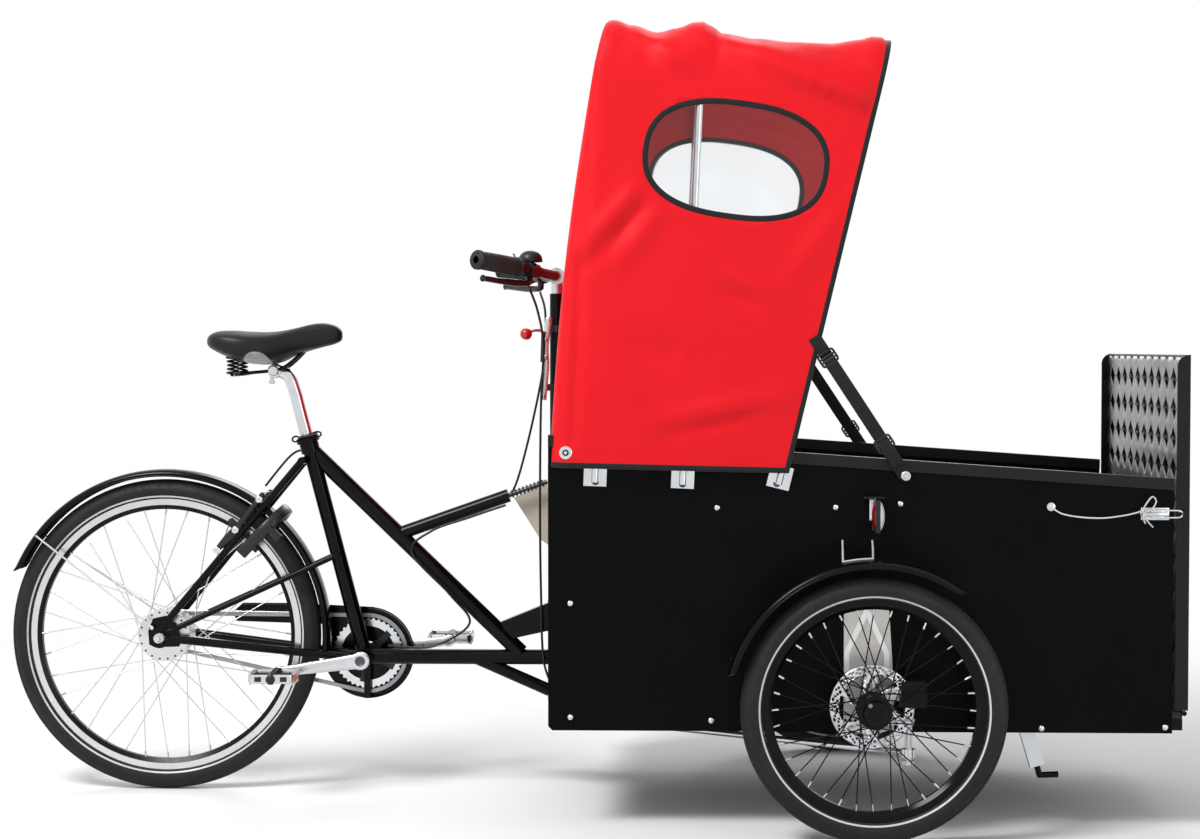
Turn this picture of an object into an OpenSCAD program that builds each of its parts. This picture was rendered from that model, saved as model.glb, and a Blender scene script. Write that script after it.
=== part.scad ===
// Cargo tricycle with two steered front wheels, a boarding ramp and a fabric hood.
// Every module below measures x forward from the rear axle, y to the left and z up from the ground.

/* [Overall] */
// Length from the back of the rear tyre to the front of the ramp hinge
overall_len = 2381; // [2375:1:2390]
// Distance from the rear axle to the front axle
wheelbase = 1439; // [1430:1:1445]
// Distance between the middle planes of the two front wheels
track = 990; // [984:2:1030]

/* [Wheels] */
// Outer diameter of the rear tyre
rear_tyre_d = 652; // [648:1:654]
// Outer diameter of a front tyre
front_tyre_d = 500; // [494:1:502]
// Width of every tyre
tyre_w = 47; // [40:1:48]
// Outer diameter of the rear rim
rear_rim_d = 570; // [566:1:574]
// Outer diameter of a front rim
front_rim_d = 418; // [414:1:422]
// Diameter of a spoke
spoke_d = 2.4; // [2:0.1:2.6]

/* [Frame] */
// Distance of the crank axis ahead of the rear axle
crank_x = 418; // [415:1:421]
// Height of the crank axis
crank_z = 280; // [278:1:282]
// Length of a crank
crank_len = 170; // [165:1:172]
// Radius of the seat tube
seat_tube_r = 16; // [15:0.5:17]
// Radius of the top tube
top_tube_r = 17; // [15:0.5:18]

/* [Box] */
// Outer width of the box
box_w = 760; // [750:2:764]
// Thickness of the box panels
panel_t = 12; // [9:1:14]
// Height of the sides at the back
box_rear_z = 756; // [745:1:760]
// Height of the sides at the front
box_front_z = 674; // [668:1:680]
// Height of the load floor
floor_z = 229; // [227:1:230]

/* [Hood] */
// Outer width of the hood
hood_w = 810; // [808:2:820]
// Thickness of the hood cloth
cloth_t = 3; // [2:0.5:3]

/* [Steering] */
// Length of each steering arm
steer_arm = 72; // [66:1:74]
// Distance of a kingpin inside its wheel's middle plane
king_in = 70; // [68:1:72]

/* [Ramp] */
// Height of the top edge of the ramp
ramp_top_z = 914; // [880:1:918]

/* [Hidden] */
$fn = 48;
rear_axle_x = rear_tyre_d / 2 - overall_len / 2;
rear_r = rear_tyre_d / 2;
front_r = front_tyre_d / 2;
wheel_y = track / 2;
king_y = wheel_y - king_in;
half_w = box_w / 2;
inner_w = half_w - panel_t;
column_x = 822;
column_r = 15;
box_rear_x = 823;
box_front_x = 2018;
box_low_z = 190;
under_z = 194;
floor_low_z = floor_z - panel_t;
back_x = 842;
sill_x = 2040;
hinge_x = 2050;
hinge_z = 222;
ramp_x = 2048;
ramp_low_z = 234;
hood_y = hood_w / 2;
leg_tilt = 16.5;
leg_y = 330;
chain_y = 51.5;
ring_r = 80.8;
sprocket_r = 36.4;
seat_top = [298, 0, 739];
seat_dir = [298 - crank_x, 0, 739 - crank_z] / norm([298 - crank_x, 0, 739 - crank_z]);

// Unit vector at an angle in a side view.
function side_dir(a) = [cos(a), sin(a)];

// Point between two points.
function mix(a, b, t) = a + (b - a) * t;

// Point of a smooth curve through the middle two of four points.
function smooth_at(a, b, c, d, t) =
    0.5 * (2 * b + (c - a) * t + (2 * a - 5 * b + 4 * c - d) * t * t
           + (3 * b - a - 3 * c + d) * t * t * t);

// Smooth route through points, with n steps from one to the next.
function route(p, n) = concat(
    [for (i = [0:len(p) - 2], k = [0:n - 1])
        smooth_at(p[max(i - 1, 0)], p[i], p[i + 1], p[min(i + 2, len(p) - 1)], k / n)],
    [p[len(p) - 1]]);

function unit(v) = v / norm(v);

// Direction of a route at its point i.
function heading(p, i) = unit(p[min(i + 1, len(p) - 1)] - p[max(i - 1, 0)]);

// Straight round bar from a to b.
module bar(a, b, r) {
    d = b - a;
    translate(a)
        rotate([0, acos(d[2] / norm(d)), atan2(d[1], d[0])])
            cylinder(h = norm(d), r = r);
}

// Flat shape drawn in a side view (x, z), w thick about y.
module side_plate(y, w) {
    translate([0, y + w / 2, 0])
        rotate([90, 0, 0])
            linear_extrude(height = w)
                children();
}

// Profile of radius and y, turned about the y axis.
module spin_y(a = 360) {
    rotate([-90, 0, 0])
        rotate_extrude(angle = a, $fn = 96)
            children();
}

// Round bar along y between two heights of y.
module cross_bar(x, z, y0, y1, r) {
    translate([x, y0, z])
        rotate([-90, 0, 0])
            cylinder(h = y1 - y0, r = r);
}

// Children on the right side as drawn and on the left as their mirror image.
module both_sides() {
    children();
    mirror([0, 1, 0]) children();
}

// Left-hand twin of children.
module left_hand() {
    mirror([0, 1, 0]) children();
}

// Round hose along a route.
module hose(points, r, sides) {
    n = len(points);
    rings = [for (i = [0:n - 1])
        let (t = heading(points, i), u = unit(cross(t, [0.31, 0.84, 0.44])), v = cross(t, u))
            for (k = [0:sides - 1])
                points[i] + r * (cos(360 * k / sides) * u + sin(360 * k / sides) * v)];
    walls = [for (i = [0:n - 2], k = [0:sides - 1])
        [i * sides + k, (i + 1) * sides + k, (i + 1) * sides + (k + 1) % sides,
         i * sides + (k + 1) % sides]];
    ends = [[for (k = [0:sides - 1]) k],
            [for (k = [0:sides - 1]) n * sides - 1 - k]];
    polyhedron(points = rings, faces = concat(walls, ends), convexity = 6);
}

// Solid between rows of points that all have the same count, closed at both ends.
module skin(rows) {
    n = len(rows);
    m = len(rows[0]);
    pts = [for (r = rows, p = r) p];
    walls = [for (i = [0:n - 2], k = [0:m - 1])
        [i * m + k, (i + 1) * m + k, (i + 1) * m + (k + 1) % m, i * m + (k + 1) % m]];
    ends = [[for (k = [0:m - 1]) k], [for (k = [0:m - 1]) n * m - 1 - k]];
    polyhedron(points = pts, faces = concat(walls, ends), convexity = 6);
}

// Tyre about the y axis.
module tyre_ring(outer_r, rim_r) {
    spin_y()
        intersection() {
            translate([outer_r - tyre_w / 2, 0])
                circle(d = tyre_w);
            translate([rim_r + 0.2, -tyre_w])
                square([2 * tyre_w, 2 * tyre_w]);
        }
}

// Spokes of one flange: nine pull forward from its outer face and nine back from its inner face.
module spokes(flange_y, flange_r, rim_r, out, turn) {
    for (j = [0:8]) {
        a = 40 * j + turn;
        bar([flange_r * cos(a), flange_y + 2 * out, flange_r * sin(a)],
            [rim_r * cos(a + 60), 5 * out, rim_r * sin(a + 60)], spoke_d / 2);
        bar([flange_r * cos(a + 20), flange_y - 2 * out, flange_r * sin(a + 20)],
            [rim_r * cos(a - 40), 1.5 * out, rim_r * sin(a - 40)], spoke_d / 2);
    }
}

// Seat tube with the crank shell and the clamp collar.
module seat_tube() {
    color("#17181a")
        difference() {
            union() {
                bar([crank_x, 0, crank_z], seat_top, seat_tube_r);
                bar(seat_top - 32 * seat_dir, seat_top, seat_tube_r + 4);
                cross_bar(crank_x, crank_z, -34, 34, 21);
                cross_bar(291, 692, -36, 36, 8);
                cross_bar(362, 495, -40, 40, 7);
            }
            cross_bar(crank_x, crank_z, -40, 40, 9.1);
            bar(seat_top - 150 * seat_dir, seat_top + 5 * seat_dir, 13.7);
        }
}

// Long tube from under the saddle down to the main tube.
module top_tube() {
    color("#17181a")
        difference() {
            bar([300, 0, 720], [746, 0, 289], top_tube_r);
            bar([crank_x, 0, crank_z], seat_top + 60 * seat_dir, seat_tube_r + 4.1);
            bar([crank_x, 0, crank_z], [column_x, 0, crank_z], 16.1);
        }
}

// Short tube from the top tube up towards the steering column.
module upper_tube() {
    color("#17181a")
        difference() {
            bar([480, 0, 534], [721, 0, 619], 14);
            bar([300, 0, 720], [746, 0, 289], top_tube_r + 0.1);
        }
}

// Level tube from the crank shell to the head tube, with its low brace.
module main_tube() {
    color("#17181a")
        difference() {
            union() {
                bar([crank_x, 0, crank_z], [column_x, 0, crank_z], 16);
                bar([655, 0, 276], [column_x, 0, 203], 13);
            }
            cross_bar(crank_x, crank_z, -40, 40, 21.1);
            translate([crank_x, 0, crank_z])
                rotate([0, -14.7, 0])
                    cylinder(h = 200, r = seat_tube_r + 0.1);
            translate([column_x, 0, 150])
                cylinder(h = 300, r = 21.1);
        }
}

// Lower bearing of the steering column, with the plate that bolts to the box.
module head_tube() {
    color("#17181a")
        difference() {
            union() {
                translate([column_x, 0, 192])
                    cylinder(h = 208, r = 19.8);
                translate([836, -60, 196])
                    cube([back_x - 836.1, 120, 200]);
                side_plate(0, 24)
                    polygon([[722, 318], [812, 338], [812, 398], [704, 354]]);
            }
            translate([column_x, 0, 150])
                cylinder(h = 300, r = column_r + 0.1);
            bar([300, 0, 720], [746, 0, 289], top_tube_r + 0.1);
        }
}

// One side of the rear triangle, drawn on the left.
module stay_side() {
    bar([0, 68, rear_r], [408, 31, crank_z], 8.5);
    bar([-4, 68, rear_r + 12], [291, 30, 692], 7.5);
    bar([4, 68, rear_r + 6], [362, 36, 495], 6);
    side_plate(68, 6)
        polygon([[-22, 312], [-10, 306], [40, 308], [48, 322], [34, 356], [12, 372], [-14, 366],
                 [-24, 340]]);
}

// Rear stays, their end plates and the rear axle with its nuts.
module rear_stays() {
    color("#17181a")
        difference() {
            union() {
                stay_side();
                left_hand() stay_side();
                cross_bar(0, rear_r, -96, 96, 5);
                cross_bar(0, rear_r, -84, -70, 10);
                cross_bar(0, rear_r, 70, 84, 10);
            }
            cross_bar(crank_x, crank_z, -40, 40, 21.1);
            cross_bar(291, 692, -46, 46, 8.1);
            cross_bar(362, 495, -46, 46, 7.1);
        }
}

// Sprung stay from the upper tube to the column bracket.
module spring_stay() {
    a = [722, 0, 619.5];
    b = [801, 0, 648];
    color("#33363a") {
        bar(a, b, 5);
        for (i = [0:8])
            translate(mix(a, b, 0.08 + 0.1 * i))
                rotate([0, 70, 0])
                    rotate_extrude($fn = 24)
                        translate([6.4, 0])
                            circle(r = 1.8, $fn = 16);
    }
}

// Upper bearing of the column, bolted to the back of the box, with its gusset.
module column_bracket() {
    color("#b5ada0")
        difference() {
            union() {
                translate([column_x, 0, 612])
                    cylinder(h = 72, r = 19.8);
                translate([836, -50, 590])
                    cube([back_x - 836.1, 100, 110]);
                side_plate(26, 5)
                    polygon([[730, 612], [804, 648], [836, 650], [836, 596], [804, 512], [786, 524]]);
                translate([806, 12, 612])
                    cube([34, 16, 36]);
            }
            translate([column_x, 0, 560])
                cylinder(h = 180, r = column_r + 0.1);
            bar([722, 0, 619.5], [801, 0, 648], 9);
        }
}

// Bent seat post with its clamp, the saddle rails and the two saddle springs.
module seat_post() {
    top = seat_top + 108 * seat_dir;
    color("#b9bcc0") {
        bar(seat_top - 110 * seat_dir, top, 13.6);
        translate(top)
            sphere(r = 13.6);
        bar(top, [236, 0, 878], 12.5);
        cross_bar(232, 879, -32, 32, 13);
        for (y = [-24, 24]) {
            bar([152, y, 872], [231, y, 880], 3.5);
            bar([231, y, 880], [286, y * 0.7, 910], 3.5);
        }
        cross_bar(152, 872, -60, 60, 4);
        for (y = [-52, 52])
            for (i = [0:3])
                translate([152, y, 872 + 6.5 * i])
                    cylinder(h = 7, r1 = i % 2 == 0 ? 13 : 11, r2 = i % 2 == 0 ? 11 : 13);
    }
}

// Half width, top and bottom of the saddle from its back to its nose.
saddle_rows = [[97, 46, 948, 930], [104, 70, 956, 916], [118, 88, 962, 906], [145, 101, 964, 900],
               [180, 104, 962, 898], [215, 92, 961, 899], [245, 72, 963, 903], [275, 51, 969, 912],
               [305, 36, 976, 921], [330, 28, 979, 930], [350, 23, 977, 938], [364, 17, 971, 943],
               [371, 9, 963, 947]];

// Saddle with its rounded top.
module saddle() {
    color("#1b1b1d")
        skin([for (s = saddle_rows)
            [for (k = [0:14])
                let (a = 180 * k / 14, c = cos(a), h = pow(sin(a), 0.6))
                    [s[0], sign(c) * s[1] * pow(abs(c), 0.8), mix(s[3], s[2], h)]]]);
}

// Rear mudguard with its two wire stays.
module rear_mudguard() {
    color("#1d1e20") {
        translate([0, 0, rear_r])
            rotate([0, -157, 0])
                spin_y(164)
                    polygon([[333, -27], [343, -27], [346, -20], [347, 0], [346, 20], [343, 27], [333, 27],
                             [333, 25.5], [341.6, 25.5], [344.6, 19], [345.4, 0], [344.6, -19],
                             [341.6, -25.5], [333, -25.5]]);
        both_sides() {
            bar([-14, 76, rear_r + 22], [-270, 27, 534], 2);
            cross_bar(-14, rear_r + 22, 71.1, 79, 4);
        }
    }
}

ring_at = [crank_x, crank_z];
hub_at = [0, rear_r];
chain_d = norm(ring_at - hub_at);
chain_a = atan2(ring_at[1] - hub_at[1], ring_at[0] - hub_at[0]);
chain_n = acos((sprocket_r - ring_r) / chain_d);
chain_run = sqrt(chain_d * chain_d - pow(ring_r - sprocket_r, 2));
chain_front = ring_r * 2 * chain_n * PI / 180;
chain_back = sprocket_r * (360 - 2 * chain_n) * PI / 180;
chain_len = 2 * chain_run + chain_front + chain_back;
chain_links = round(chain_len / 12.7);

// Point of the chain at distance s from the sprocket's top, o outside its middle line.
function chain_at(s, o) =
    s < chain_run
        ? mix(hub_at + (sprocket_r + o) * side_dir(chain_a + chain_n),
              ring_at + (ring_r + o) * side_dir(chain_a + chain_n), s / chain_run)
    : s < chain_run + chain_front
        ? ring_at + (ring_r + o) * side_dir(chain_a + chain_n - (s - chain_run) / ring_r * 180 / PI)
    : s < 2 * chain_run + chain_front
        ? mix(ring_at + (ring_r + o) * side_dir(chain_a - chain_n),
              hub_at + (sprocket_r + o) * side_dir(chain_a - chain_n),
              (s - chain_run - chain_front) / chain_run)
    : hub_at + (sprocket_r + o) * side_dir(chain_a - chain_n
        - (s - 2 * chain_run - chain_front) / sprocket_r * 180 / PI);

// Drive chain as a waisted loop of links.
module chain() {
    n = 2 * chain_links;
    step = chain_len / n;
    color("#8e9094")
        side_plate(chain_y, 6.5)
            difference() {
                polygon([for (i = [0:n - 1]) chain_at(i * step, i % 2 == 0 ? 4.3 : 3)]);
                polygon([for (i = [0:n - 1]) chain_at(i * step, i % 2 == 0 ? -4.3 : -3)]);
            }
}

// Guard plate outside the chain, with its lip and the strap from the crank shell.
module chain_guard() {
    color("#1a1b1d") {
        side_plate(59, 2)
            difference() {
                union() {
                    translate(ring_at)
                        circle(r = 97, $fn = 96);
                    polygon([[430, 377], [250, 385], [150, 385], [128, 366], [136, 346], [330, 340],
                             [420, 300]]);
                }
                translate(ring_at)
                    circle(r = 60, $fn = 96);
            }
        translate([crank_x, 0, crank_z])
            rotate([0, -90, 0])
                spin_y(180)
                    translate([93.5, 45])
                        square([2, 14]);
        translate([152, 45, 381.5])
            cube([98, 14, 2]);
        translate([411, 34.1, 187])
            cube([14, 2, 81]);
        translate([411, 34.1, 186])
            cube([14, 25, 3]);
    }
}

// Rim brake arms with their pads behind the stays, and the ring lock ahead of them.
module rear_brake() {
    color("#3a3c40") {
        both_sides() {
            bar([112, 47, 506], [214, 47, 626], 6);
            bar([112, 47, 506], [120.6, 49.4, 499.1], 5);
            bar([155.4, 20, 549.2], [155.4, 50, 549.2], 5);
            translate([155.4, 17.7, 549.2])
                rotate([0, 41, 0])
                    translate([-25, 0, -6])
                        cube([50, 9, 12]);
        }
        cross_bar(212, 624, -50, 50, 3);
        translate([0, 0, rear_r])
            rotate([0, -46, 0]) {
                translate([302, 0, -15])
                    linear_extrude(height = 30)
                        difference() {
                            union() {
                                circle(r = 70);
                                translate([-62, -68])
                                    square([62, 136]);
                            }
                            circle(r = 55);
                            translate([-80, -54])
                                square([80, 108]);
                        }
                for (y = [-43, 43])
                    translate([336.8, y, 10])
                        cylinder(h = 17.8, r = 3.5);
            }
    }
}

// Cables that lie along the frame, from the column to the rear brake and hub.
module rear_cables() {
    color("#101113") {
        hose(route([[715, 22, 606], [640, 20, 580], [560, 20, 550], [480, 23, 548], [400, 24, 624],
                    [330, 26, 706], [291, 28, 712], [258, 30, 700], [205, 24, 636]], 5), 2.5, 8);
        hose(route([[716, -22, 600], [640, -20, 574], [560, -21, 545], [520, -23, 500], [600, -24, 412],
                    [640, -24, 352], [560, -24, 304], [470, -26, 306]], 5), 2.5, 8);
    }
}

// Load floor.
module box_floor() {
    color("#2a2b2d")
        translate([back_x + panel_t + 0.1, 0.1 - inner_w, floor_low_z])
            cube([2035.9 - back_x - panel_t, 2 * inner_w - 0.2, panel_t]);
}

// Height of the sides' top edge.
function edge_z(x) = mix(box_rear_z, box_front_z, (x - box_rear_x) / (box_front_x - box_rear_x));

// One side panel, drawn on the right.
module side_panel() {
    side_plate(panel_t / 2 - half_w, panel_t)
        polygon([[box_rear_x, box_low_z + 8], [box_rear_x + 8, box_low_z], [box_front_x, box_low_z],
                 [box_front_x, box_front_z], [box_rear_x, box_rear_z]]);
}

module box_side_right() {
    color("#17181a") side_panel();
}

module box_side_left() {
    color("#17181a")
        left_hand() side_panel();
}

// Panel across the back of the box.
module box_back() {
    color("#17181a")
        union() {
            translate([back_x, 0.1 - inner_w, floor_low_z])
                cube([panel_t, 2 * inner_w - 0.2, 735 - floor_low_z]);
            translate([back_x, 4.5 - inner_w, 700])
                cube([panel_t, 2 * inner_w - 9, 45]);
        }
}

// Leg tube of a drop leg, drawn on the right with its axis through the origin.
module leg_tube() {
    difference() {
        translate([-14, -11, -38])
            cube([28, 22, 96]);
        translate([0, 0, -60])
            cylinder(h = 160, r = 6.3);
    }
}

// Rails and cross-members under the floor, with the leg tubes and the fixed hinge knuckles.
module under_frame() {
    z = under_z;
    h = floor_low_z - 0.1 - z;
    color("#1c1d1f") {
        difference() {
            union() {
                for (y = [-275, 245])
                    translate([back_x, y, z])
                        cube([sill_x - back_x, 30, h]);
                for (x = [back_x, wheelbase - 24, 1728, sill_x - 34])
                    translate([x, 0.1 - inner_w, z])
                        cube([34, 2 * inner_w - 0.2, h]);
                for (y = [-300, 0, 300]) {
                    translate([sill_x - 2, y - 40, 204])
                        cube([8, 80, 18]);
                    cross_bar(hinge_x, hinge_z, y - 40, y + 40, 5);
                }
            }
            cross_bar(hinge_x, hinge_z, -360, 360, 2.7);
            for (y = [-leg_y, leg_y])
                translate([1758, y, 155])
                    rotate([0, -leg_tilt, 0])
                        translate([-13, -10, -38])
                            cube([26, 20, 120]);
        }
        for (y = [-leg_y, leg_y])
            intersection() {
                translate([1758, y, 155])
                    rotate([0, -leg_tilt, 0])
                        leg_tube();
                translate([1600, y - 50, 100])
                    cube([300, 100, floor_low_z - 100.1]);
            }
    }
}

// Channel along the top edge of each side.
module top_rails() {
    color("#4b4f55")
        both_sides()
            difference() {
                side_plate(panel_t / 2 - half_w, panel_t + 8)
                    polygon([[box_rear_x, edge_z(box_rear_x) - 18], [box_front_x, edge_z(box_front_x) - 18],
                             [box_front_x, edge_z(box_front_x) + 4], [box_rear_x, edge_z(box_rear_x) + 4]]);
                side_plate(panel_t / 2 - half_w, panel_t + 0.2)
                    polygon([[box_rear_x - 9, 300], [box_front_x + 9, 300],
                             [box_front_x + 9, edge_z(box_front_x + 9) + 0.1],
                             [box_rear_x - 9, edge_z(box_rear_x - 9) + 0.1]]);
            }
}

// One hood bow with its feet: foot and top are points of the side view.
module bow(foot, top) {
    d = top - foot;
    h = norm(d);
    c = 84;
    y = hood_y - 13;
    translate([foot[0], 0, foot[1]])
        rotate([0, atan2(d[0], d[1]), 0]) {
            cross_bar(0, h, c - y, y - c, 7);
            both_sides() {
                translate([0, -y, -14])
                    cylinder(h = h - c + 14, r = 7);
                translate([0, c - y, h - c])
                    rotate([0, 90, 0])
                        rotate([0, 0, 180])
                            rotate_extrude(angle = 90)
                                translate([c, 0])
                                    circle(r = 7);
                translate([-22, -half_w - 4.5, -22])
                    cube([44, 4.4, 44]);
                translate([-10, -y, -12])
                    cube([20, y - half_w - 0.2, 20]);
            }
        }
}

// Three bows of the hood with their brackets and the strap knobs.
module hood_frame() {
    color("#c3c6ca") {
        bow([914, 684], [945, 1545]);
        bow([1082, 680], [1119, 1543]);
        bow([1268, 680], [1470, 1505]);
        both_sides()
            cross_bar(1506, 683.4, -half_w - 24, -half_w - 0.1, 7);
    }
}

// Places of the roof from back to front: x and height of its top, and how far it leans forward.
roof_rows = [[928, 1556, 0.12], [936, 1563, 0.12], [985, 1549, 0.13], [1040, 1540, 0.14],
             [1085, 1550, 0.15], [1119, 1559, 0.15], [1165, 1548, 0.17], [1230, 1533, 0.19],
             [1304, 1523, 0.21], [1390, 1519, 0.23], [1440, 1520, 0.24], [1474, 1524, 0.24],
             [1483, 1522, 0.24]];

// Arch of the roof at one place, inset by t.
function roof_arch(row, t) =
    let (r = 96, n = 8)
        [for (k = [0:2 * n + 5])
            let (left = k > n + 2,
                 j = left ? 2 * n + 5 - k : k,
                 a = 180 - 90 * min(j, n) / n,
                 y0 = r - hood_y + (r - t) * cos(a),
                 y = j > n ? mix(y0, 0, (j - n) / 2.5) : y0,
                 z = row[1] - r + (r - t) * sin(a) + (j > n ? 3 * (j - n) : 0))
                [row[0] + row[2] * (z - row[1]), left ? -y : y, z]];

// Back and front edges of the hood's side below the roof.
function hood_back_x(z) = mix(826, 931, (z - 700) / 863);
function hood_front_x(z) = mix(1283, 1483, (z - 690) / 832);

// Cloth roof with its rounded shoulders, as an outer and an inner sheet joined along their edges.
module hood_roof() {
    n = len(roof_rows);
    m = len(roof_arch(roof_rows[0], 0));
    q = n * m;
    pts = [for (t = [0, cloth_t], row = roof_rows, p = roof_arch(row, t)) p];
    sheets = [for (i = [0:n - 2], k = [0:m - 2])
        let (c = i * m + k)
            each [[c, c + 1, c + m + 1, c + m], [q + c, q + c + m, q + c + m + 1, q + c + 1]]];
    sides = [for (i = [0:n - 2])
        let (c = i * m, d = c + m - 1)
            each [[c, c + m, q + c + m, q + c], [d + m, d, q + d, q + d + m]]];
    ends = [for (k = [0:m - 2])
        let (d = q - m + k)
            each [[k + 1, k, q + k, q + k + 1], [d, d + 1, q + d + 1, q + d]]];
    color("#c81f2b")
        polyhedron(points = pts, faces = concat(sheets, sides, ends), convexity = 6);
}

// Oval outline about the origin.
function oval(a, b, p, tilt) =
    [for (k = [0:47])
        let (c = cos(7.5 * k), s = sin(7.5 * k),
             x = a * sign(c) * pow(abs(c), p), y = b * sign(s) * pow(abs(s), p))
            [x * cos(tilt) - y * sin(tilt), x * sin(tilt) + y * cos(tilt)]];

// Outline of a hood side below the roof's shoulders.
hood_side_pts = concat([[hood_back_x(700), 700], [hood_front_x(690), 690]],
    [for (k = [len(roof_rows) - 1:-1:0])
        let (row = roof_rows[k], z = row[1] - 96.3)
            [row[0] + row[2] * (z - row[1]), z]]);

// One cloth side with its window opening, drawn on the right.
module hood_side() {
    side_plate(cloth_t / 2 - hood_y, cloth_t)
        difference() {
            polygon(hood_side_pts);
            translate([1182, 1284])
                polygon(oval(170, 106, 0.8, -8));
        }
}

module hood_side_right() {
    color("#c81f2b") hood_side();
}

module hood_side_left() {
    color("#c81f2b")
        left_hand() hood_side();
}

// Sloped plane of the hood's back: children are drawn flat as (y, height along the slope).
module on_hood_back() {
    translate([back_x + 4, 0, 747])
        rotate([0, 5.79, 0])
            multmatrix([[0, 0, 1, 0.2], [1, 0, 0, 0], [0, 1, 0, 0]])
                children();
}

// Half of the back's outline, from its lower corner up to the roof.
hood_back_pts = concat([[inner_w - 6, 0], [inner_w - 6, 18], [hood_y - 3.5, 18]],
    [for (k = [0:8]) [hood_y - 96 + 92.5 * cos(11.25 * k), 716 + 92.5 * sin(11.25 * k)]]);

// Cloth back of the hood with its window opening.
module hood_back() {
    n = len(hood_back_pts);
    color("#c81f2b")
        on_hood_back()
            linear_extrude(height = cloth_t)
                difference() {
                    polygon(concat(hood_back_pts,
                        [for (k = [n - 1:-1:0]) [-hood_back_pts[k][0], hood_back_pts[k][1]]]));
                    translate([0, 586])
                        polygon(oval(250, 105, 0.5, 0));
                }
}

// Clear panes of the hood's two sides and its back.
module hood_windows() {
    color("#b9c4cc") {
        both_sides()
            side_plate(cloth_t / 2 - hood_y, 1)
                translate([1182, 1284])
                    polygon(oval(169.8, 105.8, 0.8, -8));
        on_hood_back()
            translate([0, 586, 1])
                linear_extrude(height = 1)
                    polygon(oval(249.8, 104.8, 0.5, 0));
    }
}

// Webbing straps from the hood's front edge to the knobs on the sides.
module hood_straps() {
    a = [1336, -hood_y - 1.3, 940];
    b = [1502.7, -half_w - 14, 692.6];
    color("#202124")
        both_sides()
            skin([for (t = [0, 0.1, 0.5, 1])
                let (m = mix(a, b, t), c = [m[0], t < 0.2 ? a[1] : m[1], m[2]], w = t < 0.9 ? 12 : 7)
                    [c + [-w * 0.83, -1, -w * 0.56], c + [w * 0.83, -1, w * 0.56],
                     c + [w * 0.83, 1, w * 0.56], c + [-w * 0.83, 1, -w * 0.56]]]);
}

// Side lamp with a front and a rear lens on each side of the box.
module side_lamps() {
    y = -half_w - 0.1;
    color("#d8dade")
        both_sides() {
            translate([1444, y - 44, 578])
                cube([14, 44, 70]);
            for (x = [1434, 1457.9])
                translate([x, y - 24, 596])
                    rotate([0, 90, 0])
                        cylinder(h = 10.2, r = 17);
            for (x = [1434, 1457.9])
                translate([x, y - 24, 630])
                    rotate([0, 90, 0])
                        cylinder(h = 10.2, r = 15);
        }
}

// Plan of a kingpin lug about the kingpin.
module lug() {
    difference() {
        union() {
            circle(r = 20);
            polygon([[-44, king_y - half_w - 3.9], [44, king_y - half_w - 3.9], [19, 0], [-19, 0]]);
        }
        circle(r = 8.1);
    }
}

// Carriers bolted to the box sides, each holding a kingpin between two lugs.
module axle_carriers() {
    color("#c6c8cb")
        both_sides() {
            side_plate(-half_w - 2.1, 4)
                polygon([[1391, 270], [1391, 430], [1477, 430], [1487, 270], [1487, 194], [1391, 194]]);
            for (z = [196, 293])
                translate([wheelbase, -king_y, z])
                    linear_extrude(height = 12)
                        lug();
            side_plate(-half_w - 6.5, 5)
                polygon([[1429, 426], [1439, 426], [1477, 345], [1477, 302], [1467, 302], [1467, 343],
                         [1434, 412], [1401, 343], [1401, 302], [1391, 302], [1391, 345]]);
        }
}

// Front mudguards with their wire stays from the box.
module front_mudguards() {
    y = -wheel_y;
    color("#1d1e20")
        both_sides() {
            translate([wheelbase, y, front_r])
                rotate([0, -166, 0])
                    spin_y(115)
                        polygon([[268, -33], [278, -33], [281, -24], [282, 0], [281, 24], [278, 33], [268, 33],
                                 [268, 31], [276, 31], [279, 23], [280, 0], [279, -23], [276, -31],
                                 [268, -31]]);
            bar([1382, y + 14, 519], [1382, -half_w - 1.7, 572], 3);
            bar([1437, y + 14, 526], [1437, -half_w - 1.7, 572], 3);
            bar([1178, y + 32, 330], [1178, -half_w - 0.2, 330], 3);
        }
}

// Toggle latches on the box sides.
module latches() {
    y = -half_w - 0.1;
    color("#c3c6ca")
        both_sides() {
            translate([1956, y - 3, 600])
                cube([52, 3, 22]);
            translate([1972, y - 12, 604])
                cube([30, 10, 14]);
            bar([1950, y - 14, 611], [2004, y - 9, 611], 4);
            for (z = [605, 617])
                bar([1996, y - 8, z], [2026, y - 6, z], 1.8);
            cross_bar(1785, 624, y - 8, y, 8);
            for (p = [[1148, 621], [1375, 622], [1498, 629], [866, 436], [866, 216], [1137, 211],
                      [1769, 199], [2004, 202]])
                cross_bar(p[0], p[1], y - 5, y, 7);
        }
}

// Cord from the side's bolt to the latch handle.
lanyard_pts = [[1785, -390, 624], [1800, -394, 613], [1825, -394, 607], [1855, -395, 604],
               [1885, -396, 604], [1915, -398, 608], [1938, -400, 613], [1953, -401, 619],
               [1963, -401, 634], [1973, -401, 645], [1980, -401, 636], [1972, -402.5, 622],
               [1958, -405, 615], [1962, -405, 600], [1974, -403, 587]];

module lanyard() {
    color("#e6e2da")
        hose(route(lanyard_pts, 5), 1.5, 8);
}

// Rear tyre.
module rear_tyre() {
    color("#202123")
        translate([0, 0, rear_r])
            tyre_ring(rear_r, rear_rim_d / 2);
}

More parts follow.
